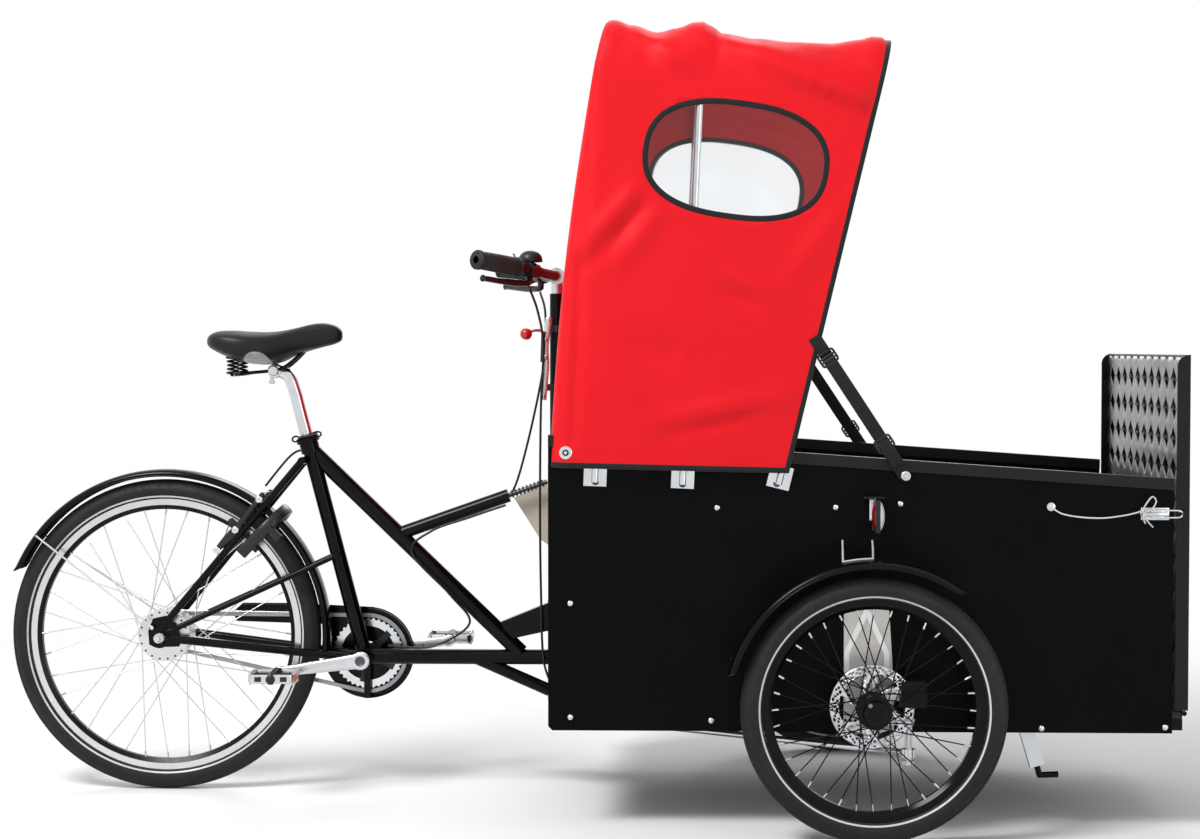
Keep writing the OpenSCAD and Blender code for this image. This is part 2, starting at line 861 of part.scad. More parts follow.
// Laced rear wheel with its large hub and sprocket.
module rear_wheel() {
    r = rear_rim_d / 2;
    color("#b9bcc0")
        translate([0, 0, rear_r]) {
            spin_y()
                polygon([[r, -12.5], [r, 12.5], [r - 13, 12], [r - 22, 6], [r - 22, -6], [r - 13, -12]]);
            spin_y()
                polygon([[5.1, -58], [14, -58], [16, -42], [42, -36], [54, -33], [54, -28], [40, -24],
                         [40, 24], [54, 28], [54, 33], [42, 36], [20, 42], [20, 49.5], [sprocket_r - 6, 49.5],
                         [sprocket_r - 5, 53.5], [14, 53.5], [14, 58], [5.1, 58]]);
            spokes(-30.5, 49, r - 21, -1, 0);
            spokes(30.5, 49, r - 21, 1, 10);
        }
}

// Front wheel parts are drawn on the right, with the inside of the wheel towards +y.
module at_front_wheel() {
    translate([wheelbase, -wheel_y, front_r])
        children();
}

module front_tyre() {
    at_front_wheel() tyre_ring(front_r, front_rim_d / 2);
}

module front_tyre_right() {
    color("#202123") front_tyre();
}

module front_tyre_left() {
    color("#202123")
        left_hand() front_tyre();
}

// Laced front wheel with its one-sided hub.
module front_wheel() {
    r = front_rim_d / 2;
    at_front_wheel() {
        difference() {
            spin_y()
                polygon([[0, -52], [16, -50], [22, -45], [24, -32], [32, -30], [32, -25], [24, -20],
                         [24, 20], [32, 24], [32, 29], [26, 34], [26, 39.8], [18, 39.8], [18, 46], [0, 46]]);
            cross_bar(0, 0, -40, 60, 10.1);
        }
        spin_y()
            polygon([[r, -12.5], [r, 12.5], [r - 12, 12], [r - 19, 6], [r - 19, -6], [r - 12, -12]]);
        spokes(-27.5, 28.5, r - 18, -1, 0);
        spokes(26.5, 28.5, r - 18, 1, 10);
    }
}

module front_wheel_right() {
    color("#1d1e20") front_wheel();
}

module front_wheel_left() {
    color("#1d1e20")
        left_hand() front_wheel();
}

// Slotted brake disc on the inside of a front hub.
module brake_disc() {
    at_front_wheel()
        side_plate(41, 2)
            difference() {
                circle(r = 80, $fn = 96);
                circle(r = 18.1);
                for (k = [0:5])
                    rotate(60 * k)
                        polygon([[34, -13], [60, -25], [60, 25], [34, 13]]);
                for (k = [0:11])
                    rotate(30 * k + 15)
                        polygon([[66, -2], [75, 3], [75, 7], [66, 2]]);
            }
}

module brake_disc_right() {
    color("#c0c3c7") brake_disc();
}

module brake_disc_left() {
    color("#c0c3c7")
        left_hand() brake_disc();
}

// Knuckle on the right: kingpin, barrel, stub axle, steering arm and brake caliper.
module knuckle() {
    x = wheelbase;
    y = -king_y;
    out = -wheel_y;
    translate([x, y, 186])
        cylinder(h = 130, r = 8);
    translate([x, y, 209.5])
        cylinder(h = 82, r = 16);
    for (z = [182, 306])
        translate([x, y, z])
            cylinder(h = 10, r = 13);
    cross_bar(x, front_r, out - 38, y, 10);
    cross_bar(x, front_r, out + 47, y, 14);
    translate([x, y - 8, 212])
        cube([steer_arm, 16, 12]);
    translate([x + steer_arm, y, 212])
        cylinder(h = 12, r = 12);
    translate([x + steer_arm, y, 140])
        cylinder(h = 80, r = 7);
    translate([x + steer_arm, y, 136])
        cylinder(h = 8, r = 11);
    translate([x, y - 10, 258])
        cube([92, 8, 26]);
    difference() {
        translate([x + 54, out + 30, 250])
            cube([48, 32, 50]);
        translate([x + 40, out + 34.9, 240])
            cube([48, 12.2, 56]);
        translate([x, out + 34.9, front_r])
            rotate([-90, 0, 0])
                cylinder(h = 12.2, r = 86);
    }
}

module knuckle_right() {
    color("#9fa2a6") knuckle();
}

module knuckle_left() {
    color("#9fa2a6")
        left_hand() knuckle();
}

// Steering column with its arm and the pin of both rods.
module steering_column() {
    color("#17181a") {
        translate([column_x, 0, 178])
            cylinder(h = 862, r = column_r);
        translate([column_x, -14, 178])
            cube([steer_arm, 28, 8]);
        translate([column_x + steer_arm, 0, 178])
            cylinder(h = 8, r = 15);
        translate([column_x + steer_arm, 0, 138])
            cylinder(h = 44, r = 7);
        translate([column_x + steer_arm, 0, 133])
            cylinder(h = 8, r = 11);
    }
}

// Points of the handlebar's right half, from the middle to the grip's end.
bar_pts = [[822, 0, 1076], [818, -60, 1076], [792, -150, 1080], [765, -235, 1086], [685, -330, 1098]];

// Handlebar with its stem.
module handlebar() {
    color("#b9bcc0") {
        translate([column_x, 0, 1040.1])
            cylinder(h = 30, r = 12);
        cross_bar(column_x, 1076, -24, 24, 17);
        both_sides()
            for (i = [0:3]) {
                bar(bar_pts[i], bar_pts[i + 1], 11);
                if (i > 0)
                    translate(bar_pts[i])
                        sphere(r = 11.4);
            }
    }
}

// Grips, brake levers and the bell on the handlebar.
module bar_controls() {
    a = bar_pts[3];
    b = bar_pts[4];
    c = bar_pts[2];
    color("#1b1b1d") {
        both_sides()
            difference() {
                union() {
                    bar(mix(a, b, 0.12), mix(a, b, 1.04), 16);
                    bar(mix(c, a, 0.25), mix(c, a, 0.75), 16);
                    bar(mix(c, a, 0.5), [776, -206, 1056], 7);
                    bar([776, -206, 1056], [700, -306, 1062], 5);
                }
                bar(mix(c, a, -0.5), a, 11.2);
                bar(a, b, 11.2);
                translate(a)
                    sphere(r = 11.6);
            }
        translate(mix(c, a, 0.5) + [0, 0, 15.5])
            cylinder(h = 20, r1 = 22, r2 = 14);
    }
}

// Parking lever with its round knob, clamped to the column.
module parking_lever() {
    color("#c9c5bb")
        difference() {
            union() {
                translate([column_x - 34, -26, 822])
                    cube([20, 10, 166]);
                for (z = [838, 960])
                    translate([column_x, 0, z])
                        cylinder(h = 14, r = 20);
                for (z = [838, 960])
                    translate([column_x - 34, -24, z])
                        cube([34, 16, 14]);
                bar([column_x - 24, -26, 968], [762, -40, 957], 4);
                translate([760, -42, 956])
                    sphere(r = 12);
            }
            translate([column_x, 0, 800])
                cylinder(h = 200, r = column_r + 0.1);
        }
}

// Control cables from the handlebar down to the box and the upper tube.
module steering_cables() {
    color("#101113") {
        hose(route([[776, -194, 1047], [790, -140, 1000], [796, -50, 930], [790, -34, 800], [788, -34, 600],
                    [790, -36, 420], [796, -46, 280], [820, -70, 222], [835, -80, 208]], 5), 2.5, 8);
        hose(route([[776, 194, 1047], [790, 140, 1000], [792, 50, 900], [770, 44, 780], [740, 36, 660],
                    [719, 24, 609]], 5), 2.5, 8);
    }
}

// Rod from the column's pin to a knuckle's pin, drawn on the right: z is its height at the column.
module tie_rod(z) {
    a = [column_x + steer_arm, 0, z];
    b = [wheelbase + steer_arm, -king_y, 158];
    difference() {
        union() {
            bar(a, b, 6.5);
            translate(a - [0, 0, 6.5])
                cylinder(h = 13, r = 13);
            translate(b - [0, 0, 8])
                cylinder(h = 16, r = 13);
        }
        translate(a - [0, 0, 20])
            cylinder(h = 40, r = 7.15);
        translate(b - [0, 0, 20])
            cylinder(h = 40, r = 7.15);
    }
}

module tie_rod_right() {
    color("#b9bcc0") tie_rod(150);
}

module tie_rod_left() {
    color("#b9bcc0")
        left_hand() tie_rod(167);
}

// Crank arm in a side view, pointing along +x.
module crank_arm() {
    circle(r = 19);
    translate([crank_len, 0])
        circle(r = 13);
    polygon([[0, -15], [crank_len, -10], [crank_len, 10], [0, 15]]);
}

// Cranks, spindle, chainring and pedal pins, with the right crank pointing back.
module crank_set() {
    tilt = 8;
    color("#b9bcc0")
        translate([crank_x, 0, crank_z])
            rotate([0, -tilt, 0]) {
                cross_bar(0, 0, -80, 80, 9);
                side_plate(-73, 14)
                    rotate(180) crank_arm();
                side_plate(73, 14)
                    crank_arm();
                cross_bar(-crank_len, 0, -184, -70, 5);
                cross_bar(crank_len, 0, 70, 184, 5);
                side_plate(chain_y, 3)
                    difference() {
                        polygon([for (k = [0:79]) (k % 2 == 0 ? 75.5 : 71.5) * side_dir(4.5 * k)]);
                        for (k = [0:4])
                            rotate(72 * k)
                                polygon([[26, -12], [52, -30], [62, 0], [52, 30], [26, 12]]);
                    }
                cross_bar(0, 0, 41.5, 56, 22);
            }
}

// Pedal about its pin, drawn on the right: tread bars between two plates on a sleeve.
module pedal(x, z) {
    difference() {
        union() {
            cross_bar(x, z, -186, -84, 10);
            for (s = [-1, 1])
                translate([x + 43 * s - 4, -180, z - 13])
                    cube([8, 84, 26]);
            for (y = [-180, -102])
                translate([x - 43, y, z - 9])
                    cube([86, 6, 18]);
        }
        cross_bar(x, z, -184.4, -60, 5.2);
    }
}

module pedal_right() {
    color("#a7aaae")
        pedal(crank_x - crank_len * cos(8), crank_z - crank_len * sin(8));
}

module pedal_left() {
    color("#a7aaae")
        left_hand() pedal(crank_x + crank_len * cos(8), crank_z + crank_len * sin(8));
}

// Ramp tray with its flanges, hinge knuckles and pin, and the latch catches.
module ramp_panel() {
    w = half_w;
    h = ramp_top_z - ramp_low_z;
    color("#17181a") {
        translate([ramp_x - 3, -w, ramp_low_z])
            cube([3, 2 * w, h]);
        for (y = [1.5 - w, w - 1.5])
            side_plate(y, 3)
                intersection() {
                    union() {
                        translate([ramp_x - 25, ramp_low_z])
                            square([25, h - 22]);
                        translate([ramp_x - 3, ramp_top_z - 22])
                            circle(r = 22);
                    }
                    translate([ramp_x - 25, ramp_low_z])
                        square([25, h]);
                }
        translate([ramp_x - 25, -w, ramp_low_z])
            cube([25, 2 * w, 3]);
        translate([ramp_x - 9, -w, ramp_top_z - 3])
            cube([9, 2 * w, 3]);
        for (y = [-150, 150]) {
            translate([ramp_x - 3, y - 105, hinge_z])
                cube([3, 210, 24]);
            cross_bar(hinge_x, hinge_z, y - 105, y + 105, 5);
        }
        cross_bar(hinge_x, hinge_z, -338, 338, 2.5);
        both_sides()
            translate([2031, -w - 9, 604])
                cube([9, 9, 14]);
    }
}

// Expanded-metal sheet on the inside of the ramp.
module ramp_mesh() {
    w = half_w - 4;
    z0 = ramp_low_z + 4;
    z1 = ramp_top_z - 4;
    py = 68;
    pz = 58;
    at = concat([for (i = [-5:5], j = [0:10]) [py * i, z0 + 48 + pz * j]],
                [for (i = [-5:4], j = [0:9]) [py * (i + 0.5), z0 + 48 + pz * (j + 0.5)]]);
    rim = [[-w, z0], [w, z0], [w, z1], [-w, z1]];
    holes = [for (p = at) for (q = [[-28, 0], [0, -23], [28, 0], [0, 23]]) p + q];
    color("#a9adb2")
        translate([ramp_x - 10, 0, 0])
            multmatrix([[0, 0, 1, 0], [1, 0, 0, 0], [0, 1, 0, 0]])
                linear_extrude(height = 6.9)
                    polygon(concat(rim, holes), concat([[0, 1, 2, 3]],
                        [for (k = [0:len(at) - 1]) [4 * k + 4, 4 * k + 5, 4 * k + 6, 4 * k + 7]]));
}

// Foot rod of a drop leg, drawn on the right.
module leg_foot() {
    translate([1758, -leg_y, 155])
        rotate([0, -leg_tilt, 0]) {
            translate([0, 0, -58])
                cylinder(h = 116, r = 6);
            translate([0, 0, -58])
                sphere(r = 6);
        }
    bar([1774.5, -leg_y, 99.4], [1810, -leg_y, 101], 6);
}

module leg_foot_right() {
    color("#17181a") leg_foot();
}

module leg_foot_left() {
    color("#17181a")
        left_hand() leg_foot();
}

translate([rear_axle_x, 0, 0]) {
    seat_tube();
    top_tube();
    upper_tube();
    main_tube();
    head_tube();
    rear_stays();
    spring_stay();
    column_bracket();
    seat_post();
    saddle();
    rear_mudguard();
    chain();
    chain_guard();
    rear_brake();
    rear_cables();
    box_floor();
    box_side_right();
    box_side_left();
    box_back();
    under_frame();
    top_rails();
    hood_frame();
    hood_side_right();
    hood_side_left();
    hood_roof();
    hood_back();
    hood_windows();
    hood_straps();
    side_lamps();
    axle_carriers();
    front_mudguards();
    latches();
    lanyard();
    rear_tyre();
    rear_wheel();
    front_tyre_right();
    front_tyre_left();
    front_wheel_right();
    front_wheel_left();
    brake_disc_right();
    brake_disc_left();
    knuckle_right();
    knuckle_left();
    steering_column();
    handlebar();
    bar_controls();
    parking_lever();
    steering_cables();
    tie_rod_right();
    tie_rod_left();
    crank_set();
    pedal_right();
    pedal_left();
    ramp_panel();
    ramp_mesh();
    leg_foot_right();
    leg_foot_left();
}
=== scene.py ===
"""Looks of the cargo tricycle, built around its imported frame.

Lengths in the classes are millimetres, with x measured forward from the rear axle, y to the left and
z up from the ground, as on a workshop drawing. `place` turns such a point into metres of the frame.
"""

import logging
import math
from collections.abc import Iterable, Sequence
from dataclasses import dataclass
from enum import Enum

import bmesh
import bpy
from mathutils import Matrix, Vector


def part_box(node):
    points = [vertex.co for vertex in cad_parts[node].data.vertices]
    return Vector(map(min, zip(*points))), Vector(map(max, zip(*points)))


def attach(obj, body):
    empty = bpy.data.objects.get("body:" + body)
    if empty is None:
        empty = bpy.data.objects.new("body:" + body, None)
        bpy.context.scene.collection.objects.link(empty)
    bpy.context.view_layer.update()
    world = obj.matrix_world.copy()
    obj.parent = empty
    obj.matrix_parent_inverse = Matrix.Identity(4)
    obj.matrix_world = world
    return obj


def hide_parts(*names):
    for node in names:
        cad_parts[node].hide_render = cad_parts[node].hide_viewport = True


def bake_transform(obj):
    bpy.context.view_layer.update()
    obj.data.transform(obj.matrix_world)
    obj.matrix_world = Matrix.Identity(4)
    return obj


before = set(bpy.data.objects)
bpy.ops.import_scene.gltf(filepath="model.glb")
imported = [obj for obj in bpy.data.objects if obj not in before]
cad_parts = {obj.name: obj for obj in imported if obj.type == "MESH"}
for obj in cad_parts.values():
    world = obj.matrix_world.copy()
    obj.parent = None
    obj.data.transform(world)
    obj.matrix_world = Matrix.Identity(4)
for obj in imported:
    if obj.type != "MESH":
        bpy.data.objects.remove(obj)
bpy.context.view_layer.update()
LOG = logging.getLogger("tricycle")
MM = 0.001

Material, Object, Socket = bpy.types.Material, bpy.types.Object, bpy.types.NodeSocket
Mesh = bmesh.types.BMesh
Ring = list[Vector]
Pair = tuple[float, float]
Point = Colour = tuple[float, float, float]
Line = tuple[Point, ...]
Profile = Sequence[Pair]


def axle_x() -> float:
    """Returns the rear axle's place along x, in metres."""
    low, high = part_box("rear_tyre")
    return (low.x + high.x) / 2


AXLE_X = axle_x()


def place(x: float, y: float, z: float) -> Vector:
    """Turns millimetres ahead of the rear axle, to the left and up into a point of the frame, in metres."""
    return Vector((AXLE_X + x * MM, y * MM, z * MM))


def srgb(red: int, green: int, blue: int) -> Colour:
    """Turns display colour values of 0 to 255 into the linear values that shaders take.

    Args:
        red: Red value.
        green: Green value.
        blue: Blue value.

    Returns:
        The linear colour.
    """
    def linear(value: int) -> float:
        """Returns one linear value."""
        c = value / 255
        return c / 12.92 if c <= 0.04045 else ((c + 0.055) / 1.055) ** 2.4

    return linear(red), linear(green), linear(blue)


def smooth(t: float) -> float:
    """Returns t eased at both ends, held between 0 and 1."""
    t = min(1.0, max(0.0, t))
    return t * t * (3 - 2 * t)


def dim(colour: Colour, share: float) -> Colour:
    """Returns a share of a colour, which is darker."""
    return tuple(c * share for c in colour)


def mix(a: float, b: float, t: float) -> float:
    """Returns the value between a and b at the share t."""
    return a + (b - a) * t


def bulge(value: float, power: float) -> float:
    """Returns a value raised to a power, with its sign kept."""
    return math.copysign(abs(value) ** power, value)


def turns(count: int) -> list[float]:
    """Returns the angles of a full turn in even steps."""
    return [2 * math.pi * k / count for k in range(count)]


def curve_at(points: Sequence[Vector], steps: int, closed: bool = False) -> list[Vector]:
    """Runs a smooth curve through points.

    Args:
        points: Points that the curve passes through.
        steps: Steps from one point to the next.
        closed: Whether the curve comes back to its first point.

    Returns:
        The points of the curve.
    """
    n = len(points)
    spans = n if closed else n - 1

    def pick(i: int) -> Vector:
        """Returns a point, round the end of a closed curve."""
        return points[i % n] if closed else points[min(max(i, 0), n - 1)]

    made: list[Vector] = []
    for i in range(spans):
        a, b, c, d = pick(i - 1), pick(i), pick(i + 1), pick(i + 2)
        for k in range(steps):
            t = k / steps
            made.append(0.5 * (2 * b + (c - a) * t + (2 * a - 5 * b + 4 * c - d) * t * t
                               + (3 * b - a - 3 * c + d) * t * t * t))
    return made if closed else made + [points[-1].copy()]


def run_through(points: Iterable[Sequence[float]], steps: int) -> list[Vector]:
    """Returns a smooth curve through workshop points, with steps from each to the next."""
    return curve_at([place(*p) for p in points], steps)


class Side(Enum):
    """A side of the tricycle, by the sign of y."""

    RIGHT = -1
    LEFT = 1

    @property
    def word(self) -> str:
        """Returns the side's name as it ends a node's name."""
        return self.name.lower()

    def turned_over(self, points: Iterable[Sequence[float]]) -> list[Point]:
        """Returns points of the right side as they lie on this side."""
        return [(x, -self.value * y, z) for x, y, z in points]


class Axis(Enum):
    """An axis of the frame."""

    X = 0
    Y = 1
    Z = 2


class Graph:
    """A node material under construction, with its one shader."""

    def __init__(self, name: str) -> None:
        """Makes an empty material with a shader and its output.

        Args:
            name: The material's name.
        """
        self.material = bpy.data.materials.new(name)
        self.material.use_nodes = True
        self.tree = self.material.node_tree
        self.shader = self.tree.nodes["Principled BSDF"]
        self.coords = self.tree.nodes.new("ShaderNodeTexCoord")

    def add(self, kind: str, **values: object) -> bpy.types.Node:
        """Adds a node and sets its properties.

        Args:
            kind: The node's type name without the common prefix.
            **values: Properties by name.

        Returns:
            The new node.
        """
        node = self.tree.nodes.new("ShaderNode" + kind)
        for name, value in values.items():
            setattr(node, name, value)
        return node

    def link(self, source: Socket, target: Socket) -> None:
        """Joins two sockets."""
        self.tree.links.new(source, target)

    def set(self, **values: object) -> None:
        """Sets the shader's own sockets, with spaces of their names as low lines."""
        for name, value in values.items():
            self.shader.inputs[name.replace("_", " ")].default_value = value

    def mapped(self, by_uv: bool = False) -> Socket:
        """Gives the piece's coordinates.

        Args:
            by_uv: Whether the piece's own map is used and not its place.

        Returns:
            The vector socket.
        """
        node = self.add("Mapping")
        self.link(self.coords.outputs["UV" if by_uv else "Object"], node.inputs["Vector"])
        return node.outputs["Vector"]

    def noise(self, scale: float, detail: float = 3.0, by_uv: bool = False) -> Socket:
        """Adds a noise.

        Args:
            scale: Waves to the metre.
            detail: Octaves of finer waves.
            by_uv: Whether it follows the piece's own map.

        Returns:
            The value socket.
        """
        node = self.add("TexNoise")
        node.inputs["Scale"].default_value = scale
        node.inputs["Detail"].default_value = detail
        self.link(self.mapped(by_uv), node.inputs["Vector"])
        return node.outputs["Fac"]

    def ramp(self, value: Socket, low: float, high: float, to_low: float = 0.0,
             to_high: float = 1.0) -> Socket:
        """Turns one range of a value into another.

        Args:
            value: The value.
            low: Value that becomes to_low.
            high: Value that becomes to_high.
            to_low: Low end of the result.
            to_high: High end of the result.

        Returns:
            The result's socket.
        """
        node = self.add("MapRange")
        for name, number in (("From Min", low), ("From Max", high), ("To Min", to_low), ("To Max", to_high)):
            node.inputs[name].default_value = number
        self.link(value, node.inputs["Value"])
        return node.outputs["Result"]

    def feed(self, target: Socket, value: object) -> None:
        """Joins a socket to an input, or sets the input's own value.

        Args:
            target: The input.
            value: A socket or a plain value.
        """
        if isinstance(value, Socket):
            self.link(value, target)
        else:
            target.default_value = value

    def blend(self, factor: Socket, a: object, b: object) -> Socket:
        """Mixes two colours.

        Args:
            factor: Share of the second colour.
            a: First colour, as values or as a socket.
            b: Second colour, as values or as a socket.

        Returns:
            The colour socket.
        """
        node = self.add("Mix", data_type="RGBA")
        self.link(factor, node.inputs[0])
        for value, target in ((a, node.inputs[6]), (b, node.inputs[7])):
            self.feed(target, value if isinstance(value, Socket) else (*value, 1.0))
        return node.outputs[2]

    def mottle(self, scale: float, colour: Colour, shade: Colour, low: float = 0.3, high: float = 0.75,
               detail: float = 3.0, by_uv: bool = False) -> Socket:
        """Varies a colour by a noise.

        Args:
            scale: Waves to the metre.
            colour: Main colour.
            shade: Colour of the patches.
            low: Noise where the patches begin.
            high: Noise where they have their full colour.
            detail: Octaves of finer waves.
            by_uv: Whether the noise follows the piece's own map.

        Returns:
            The colour socket.
        """
        return self.blend(self.ramp(self.noise(scale, detail, by_uv), low, high), colour, shade)

    def math(self, operation: str, a: object, b: object = 0.0) -> Socket:
        """Works out one operation on two values.

        Args:
            operation: The operation's name.
            a: First value or socket.
            b: Second value or socket.

        Returns:
            The result's socket.
        """
        node = self.add("Math", operation=operation)
        for value, target in ((a, node.inputs[0]), (b, node.inputs[1])):
            self.feed(target, value)
        return node.outputs[0]

    def along(self, axis: Axis) -> Socket:
        """Returns the place along one axis of the frame, in metres."""
        node = self.add("SeparateXYZ")
        self.link(self.coords.outputs["Object"], node.inputs[0])
        return node.outputs[axis.value]

    def distance(self, spot: Socket, point: Vector) -> Socket:
        """Measures how far a place is from a point.

        Args:
            spot: The place's socket.
            point: The point, in metres.

        Returns:
            The distance's socket, in metres.
        """
        node = self.add("VectorMath", operation="DISTANCE")
        self.link(spot, node.inputs[0])
        node.inputs[1].default_value = point
        return node.outputs["Value"]

    def near(self, point: Vector, reach: float, edge: float) -> Socket:
        """Returns a mark of 1 within reach of a point, with an edge of a given width, all in metres."""
        away = self.distance(self.coords.outputs["Object"], point)
        return self.ramp(away, reach - edge, reach + edge, 1.0, 0.0)

    def flat_distance(self, middle: Pair) -> Socket:
        """Measures how far a place is from a line across the tricycle.

        Args:
            middle: x and z of the line, in millimetres.

        Returns:
            The distance's socket, in metres.
        """
        flat = self.add("CombineXYZ")
        self.link(self.along(Axis.X), flat.inputs[0])
        self.link(self.along(Axis.Z), flat.inputs[2])
        return self.distance(flat.outputs[0], place(middle[0], 0, middle[1]))

    def bump(self, height: Socket, strength: float, depth_mm: float) -> None:
        """Gives the shader a bump.

        Args:
            height: Height of the surface, from 0 to 1.
            strength: Strength of the bump.
            depth_mm: Depth of the full height.
        """
        node = self.add("Bump")
        node.inputs["Strength"].default_value = strength
        node.inputs["Distance"].default_value = depth_mm * MM
        self.link(height, node.inputs["Height"])
        self.link(node.outputs["Normal"], self.shader.inputs["Normal"])

    def paint(self, colour: Socket) -> None:
        """Gives the shader its colour."""
        self.link(colour, self.shader.inputs["Base Color"])

    def wear(self, scale: float, low: float, high: float, detail: float = 3.0, by_uv: bool = False) -> None:
        """Gives the shader a roughness that a noise varies.

        Args:
            scale: Waves to the metre.
            low: Lowest roughness.
            high: Highest roughness.
            detail: Octaves of finer waves.
            by_uv: Whether the noise follows the piece's own map.
        """
        value = self.ramp(self.noise(scale, detail, by_uv), 0.3, 0.7, low, high)
        self.link(value, self.shader.inputs["Roughness"])


@dataclass(frozen=True)
class Enamel:
    """Sprayed or powder-coated finish.

    Attributes:
        name: The material's name.
        colour: Main colour.
        shade: Colour where it is thinner or dusty.
        roughness: Mean roughness.
        coat: Weight of the clear coat.
        peel_mm: Depth of the finish's own ripple.
        shine: Strength of its plain reflection.
    """

    name: str
    colour: Colour
    shade: Colour
    roughness: float
    coat: float = 0.0
    peel_mm: float = 0.05
    shine: float = 0.3

    def make(self) -> Material:
        """Returns the material."""
        g = Graph(self.name)
        g.paint(g.mottle(5, self.colour, self.shade, 0.4, detail=4))
        g.wear(28, self.roughness * 0.75, self.roughness * 1.3, 4)
        g.bump(g.noise(420, 2), 0.25, self.peel_mm)
        g.set(Coat_Weight=self.coat, Coat_Roughness=0.12, Specular_IOR_Level=self.shine)
        return g.material


@dataclass(frozen=True)
class Metal:
    """Bare or plated metal.

    Attributes:
        name: The material's name.
        colour: Main colour.
        shade: Colour of the duller patches.
        roughness: Mean roughness.
    """

    name: str
    colour: Colour
    shade: Colour
    roughness: float

    def make(self) -> Material:
        """Returns the material."""
        g = Graph(self.name)
        g.paint(g.mottle(24, self.colour, self.shade))
        g.wear(120, self.roughness * 0.85, self.roughness * 1.15)
        g.bump(g.noise(900, 2), 0.08, 0.02)
        g.set(Metallic=1.0)
        return g.material


@dataclass(frozen=True)
class Rubber:
    """Tyre and grip rubber.

    Attributes:
        name: The material's name.
        colour: Main colour.
        shade: Greyer colour of worn and dusty places.
        roughness: Mean roughness.
        grain_mm: Depth of the moulded grain.
    """

    name: str
    colour: Colour
    shade: Colour
    roughness: float = 0.62
    grain_mm: float = 0.15

    def make(self) -> Material:
        """Returns the material."""
        g = Graph(self.name)
        g.paint(g.mottle(14, self.colour, self.shade, 0.35, detail=5))
        g.wear(90, self.roughness * 0.85, self.roughness * 1.15)
        g.bump(g.noise(950, 3), 0.35, self.grain_mm)
        g.set(Specular_IOR_Level=0.28)
        return g.material


@dataclass(frozen=True)
class Canvas:
    """Coated woven cloth that follows the piece's own map, in metres.

    Attributes:
        name: The material's name.
        colour: Main colour.
        shade: Colour painted into the lower places of the weave, as painted shade between the threads.
        thread_mm: Width of a thread.
        sheen: Weight of the soft sheen.
        roughness: Mean roughness.
    """

    name: str
    colour: Colour
    shade: Colour
    thread_mm: float = 1.1
    sheen: float = 0.03
    roughness: float = 0.55

    def make(self) -> Material:
        """Returns the material."""
        g = Graph(self.name)
        waves = []
        for direction in ("X", "Y"):
            wave = g.add("TexWave", wave_type="BANDS", bands_direction=direction)
            wave.inputs["Scale"].default_value = 1 / (self.thread_mm * MM) / 20 * math.pi
            wave.inputs["Distortion"].default_value = 0.4
            wave.inputs["Detail"].default_value = 1.0
            g.link(g.mapped(True), wave.inputs["Vector"])
            waves.append(wave.outputs["Fac"])
        weave = g.math("MULTIPLY", waves[0], waves[1])
        tone = g.mottle(2.2, self.colour, dim(self.colour, 0.93), 0.35, 0.7, 4, True)
        # Painted shade: the weave's lower places are tinted towards the shade colour.
        g.paint(g.blend(g.ramp(weave, 0.0, 0.5, 0.3, 0.0), tone, self.shade))
        g.wear(35, self.roughness * 0.9, self.roughness * 1.1, by_uv=True)
        g.bump(weave, 0.3, 0.12)
        g.set(Sheen_Weight=self.sheen, Sheen_Roughness=0.4, Specular_IOR_Level=0.2)
        return g.material


@dataclass(frozen=True)
class Hide:
    """Grained cover of the saddle, with a grey inlay on each flank.

    Attributes:
        name: The material's name.
        colour: Main colour.
        shade: Colour down in the grain.
        inlay: Colour of the inlays.
        inlay_at: Middle of each inlay as x and z, in millimetres.
        inlay_r: Radius of an inlay.
    """

    name: str
    colour: Colour
    shade: Colour
    inlay: Colour
    inlay_at: Pair = (206, 892)
    inlay_r: float = 27

    def make(self) -> Material:
        """Returns the material."""
        g = Graph(self.name)
        cells = g.add("TexVoronoi", feature="F1")
        cells.inputs["Scale"].default_value = 620
        g.link(g.mapped(), cells.inputs["Vector"])
        grain = cells.outputs["Distance"]
        cover = g.blend(g.ramp(grain, 0.2, 0.8), self.colour, self.shade)
        mark = g.ramp(g.flat_distance(self.inlay_at), self.inlay_r * MM, (self.inlay_r + 1.2) * MM, 1, 0)
        g.paint(g.blend(mark, cover, g.mottle(500, self.inlay, self.shade, 0.3, 0.7, 2)))
        g.wear(30, 0.36, 0.52)
        g.bump(grain, 0.3, 0.18)
        g.set(Specular_IOR_Level=0.26)
        return g.material


@dataclass(frozen=True)
class Film:
    """Clear flexible window film with faint ripples."""

    name: str
    tint: Colour

    def make(self) -> Material:
        """Returns the material."""
        g = Graph(self.name)
        g.paint(g.mottle(4, self.tint, dim(self.tint, 0.96), 0.4, 0.7, 2))
        g.wear(9, 0.02, 0.06)
        g.bump(g.noise(5, 2), 0.25, 6.0)
        g.set(Transmission_Weight=1.0, IOR=1.33)
        return g.material


@dataclass(frozen=True)
class Clamped:
    """Painted bar whose clamp is bare metal.

    Attributes:
        name: The material's name.
        bar: Colour of the bar.
        clamp: Colour of the clamp.
        at: Middle of the clamp, in millimetres.
        radius: Radius that the clamp's colour covers.
    """

    name: str
    bar: Colour
    clamp: Colour
    at: Point
    radius: float

    def make(self) -> Material:
        """Returns the material."""
        g = Graph(self.name)
        bar = g.mottle(30, self.bar, dim(self.bar, 0.9))
        mark = g.near(place(*self.at), self.radius * MM, 0.0004)
        g.paint(g.blend(mark, bar, self.clamp))
        g.wear(160, 0.2, 0.36)
        g.bump(g.noise(600, 2), 0.2, 0.04)
        g.link(mark, g.shader.inputs["Metallic"])
        return g.material


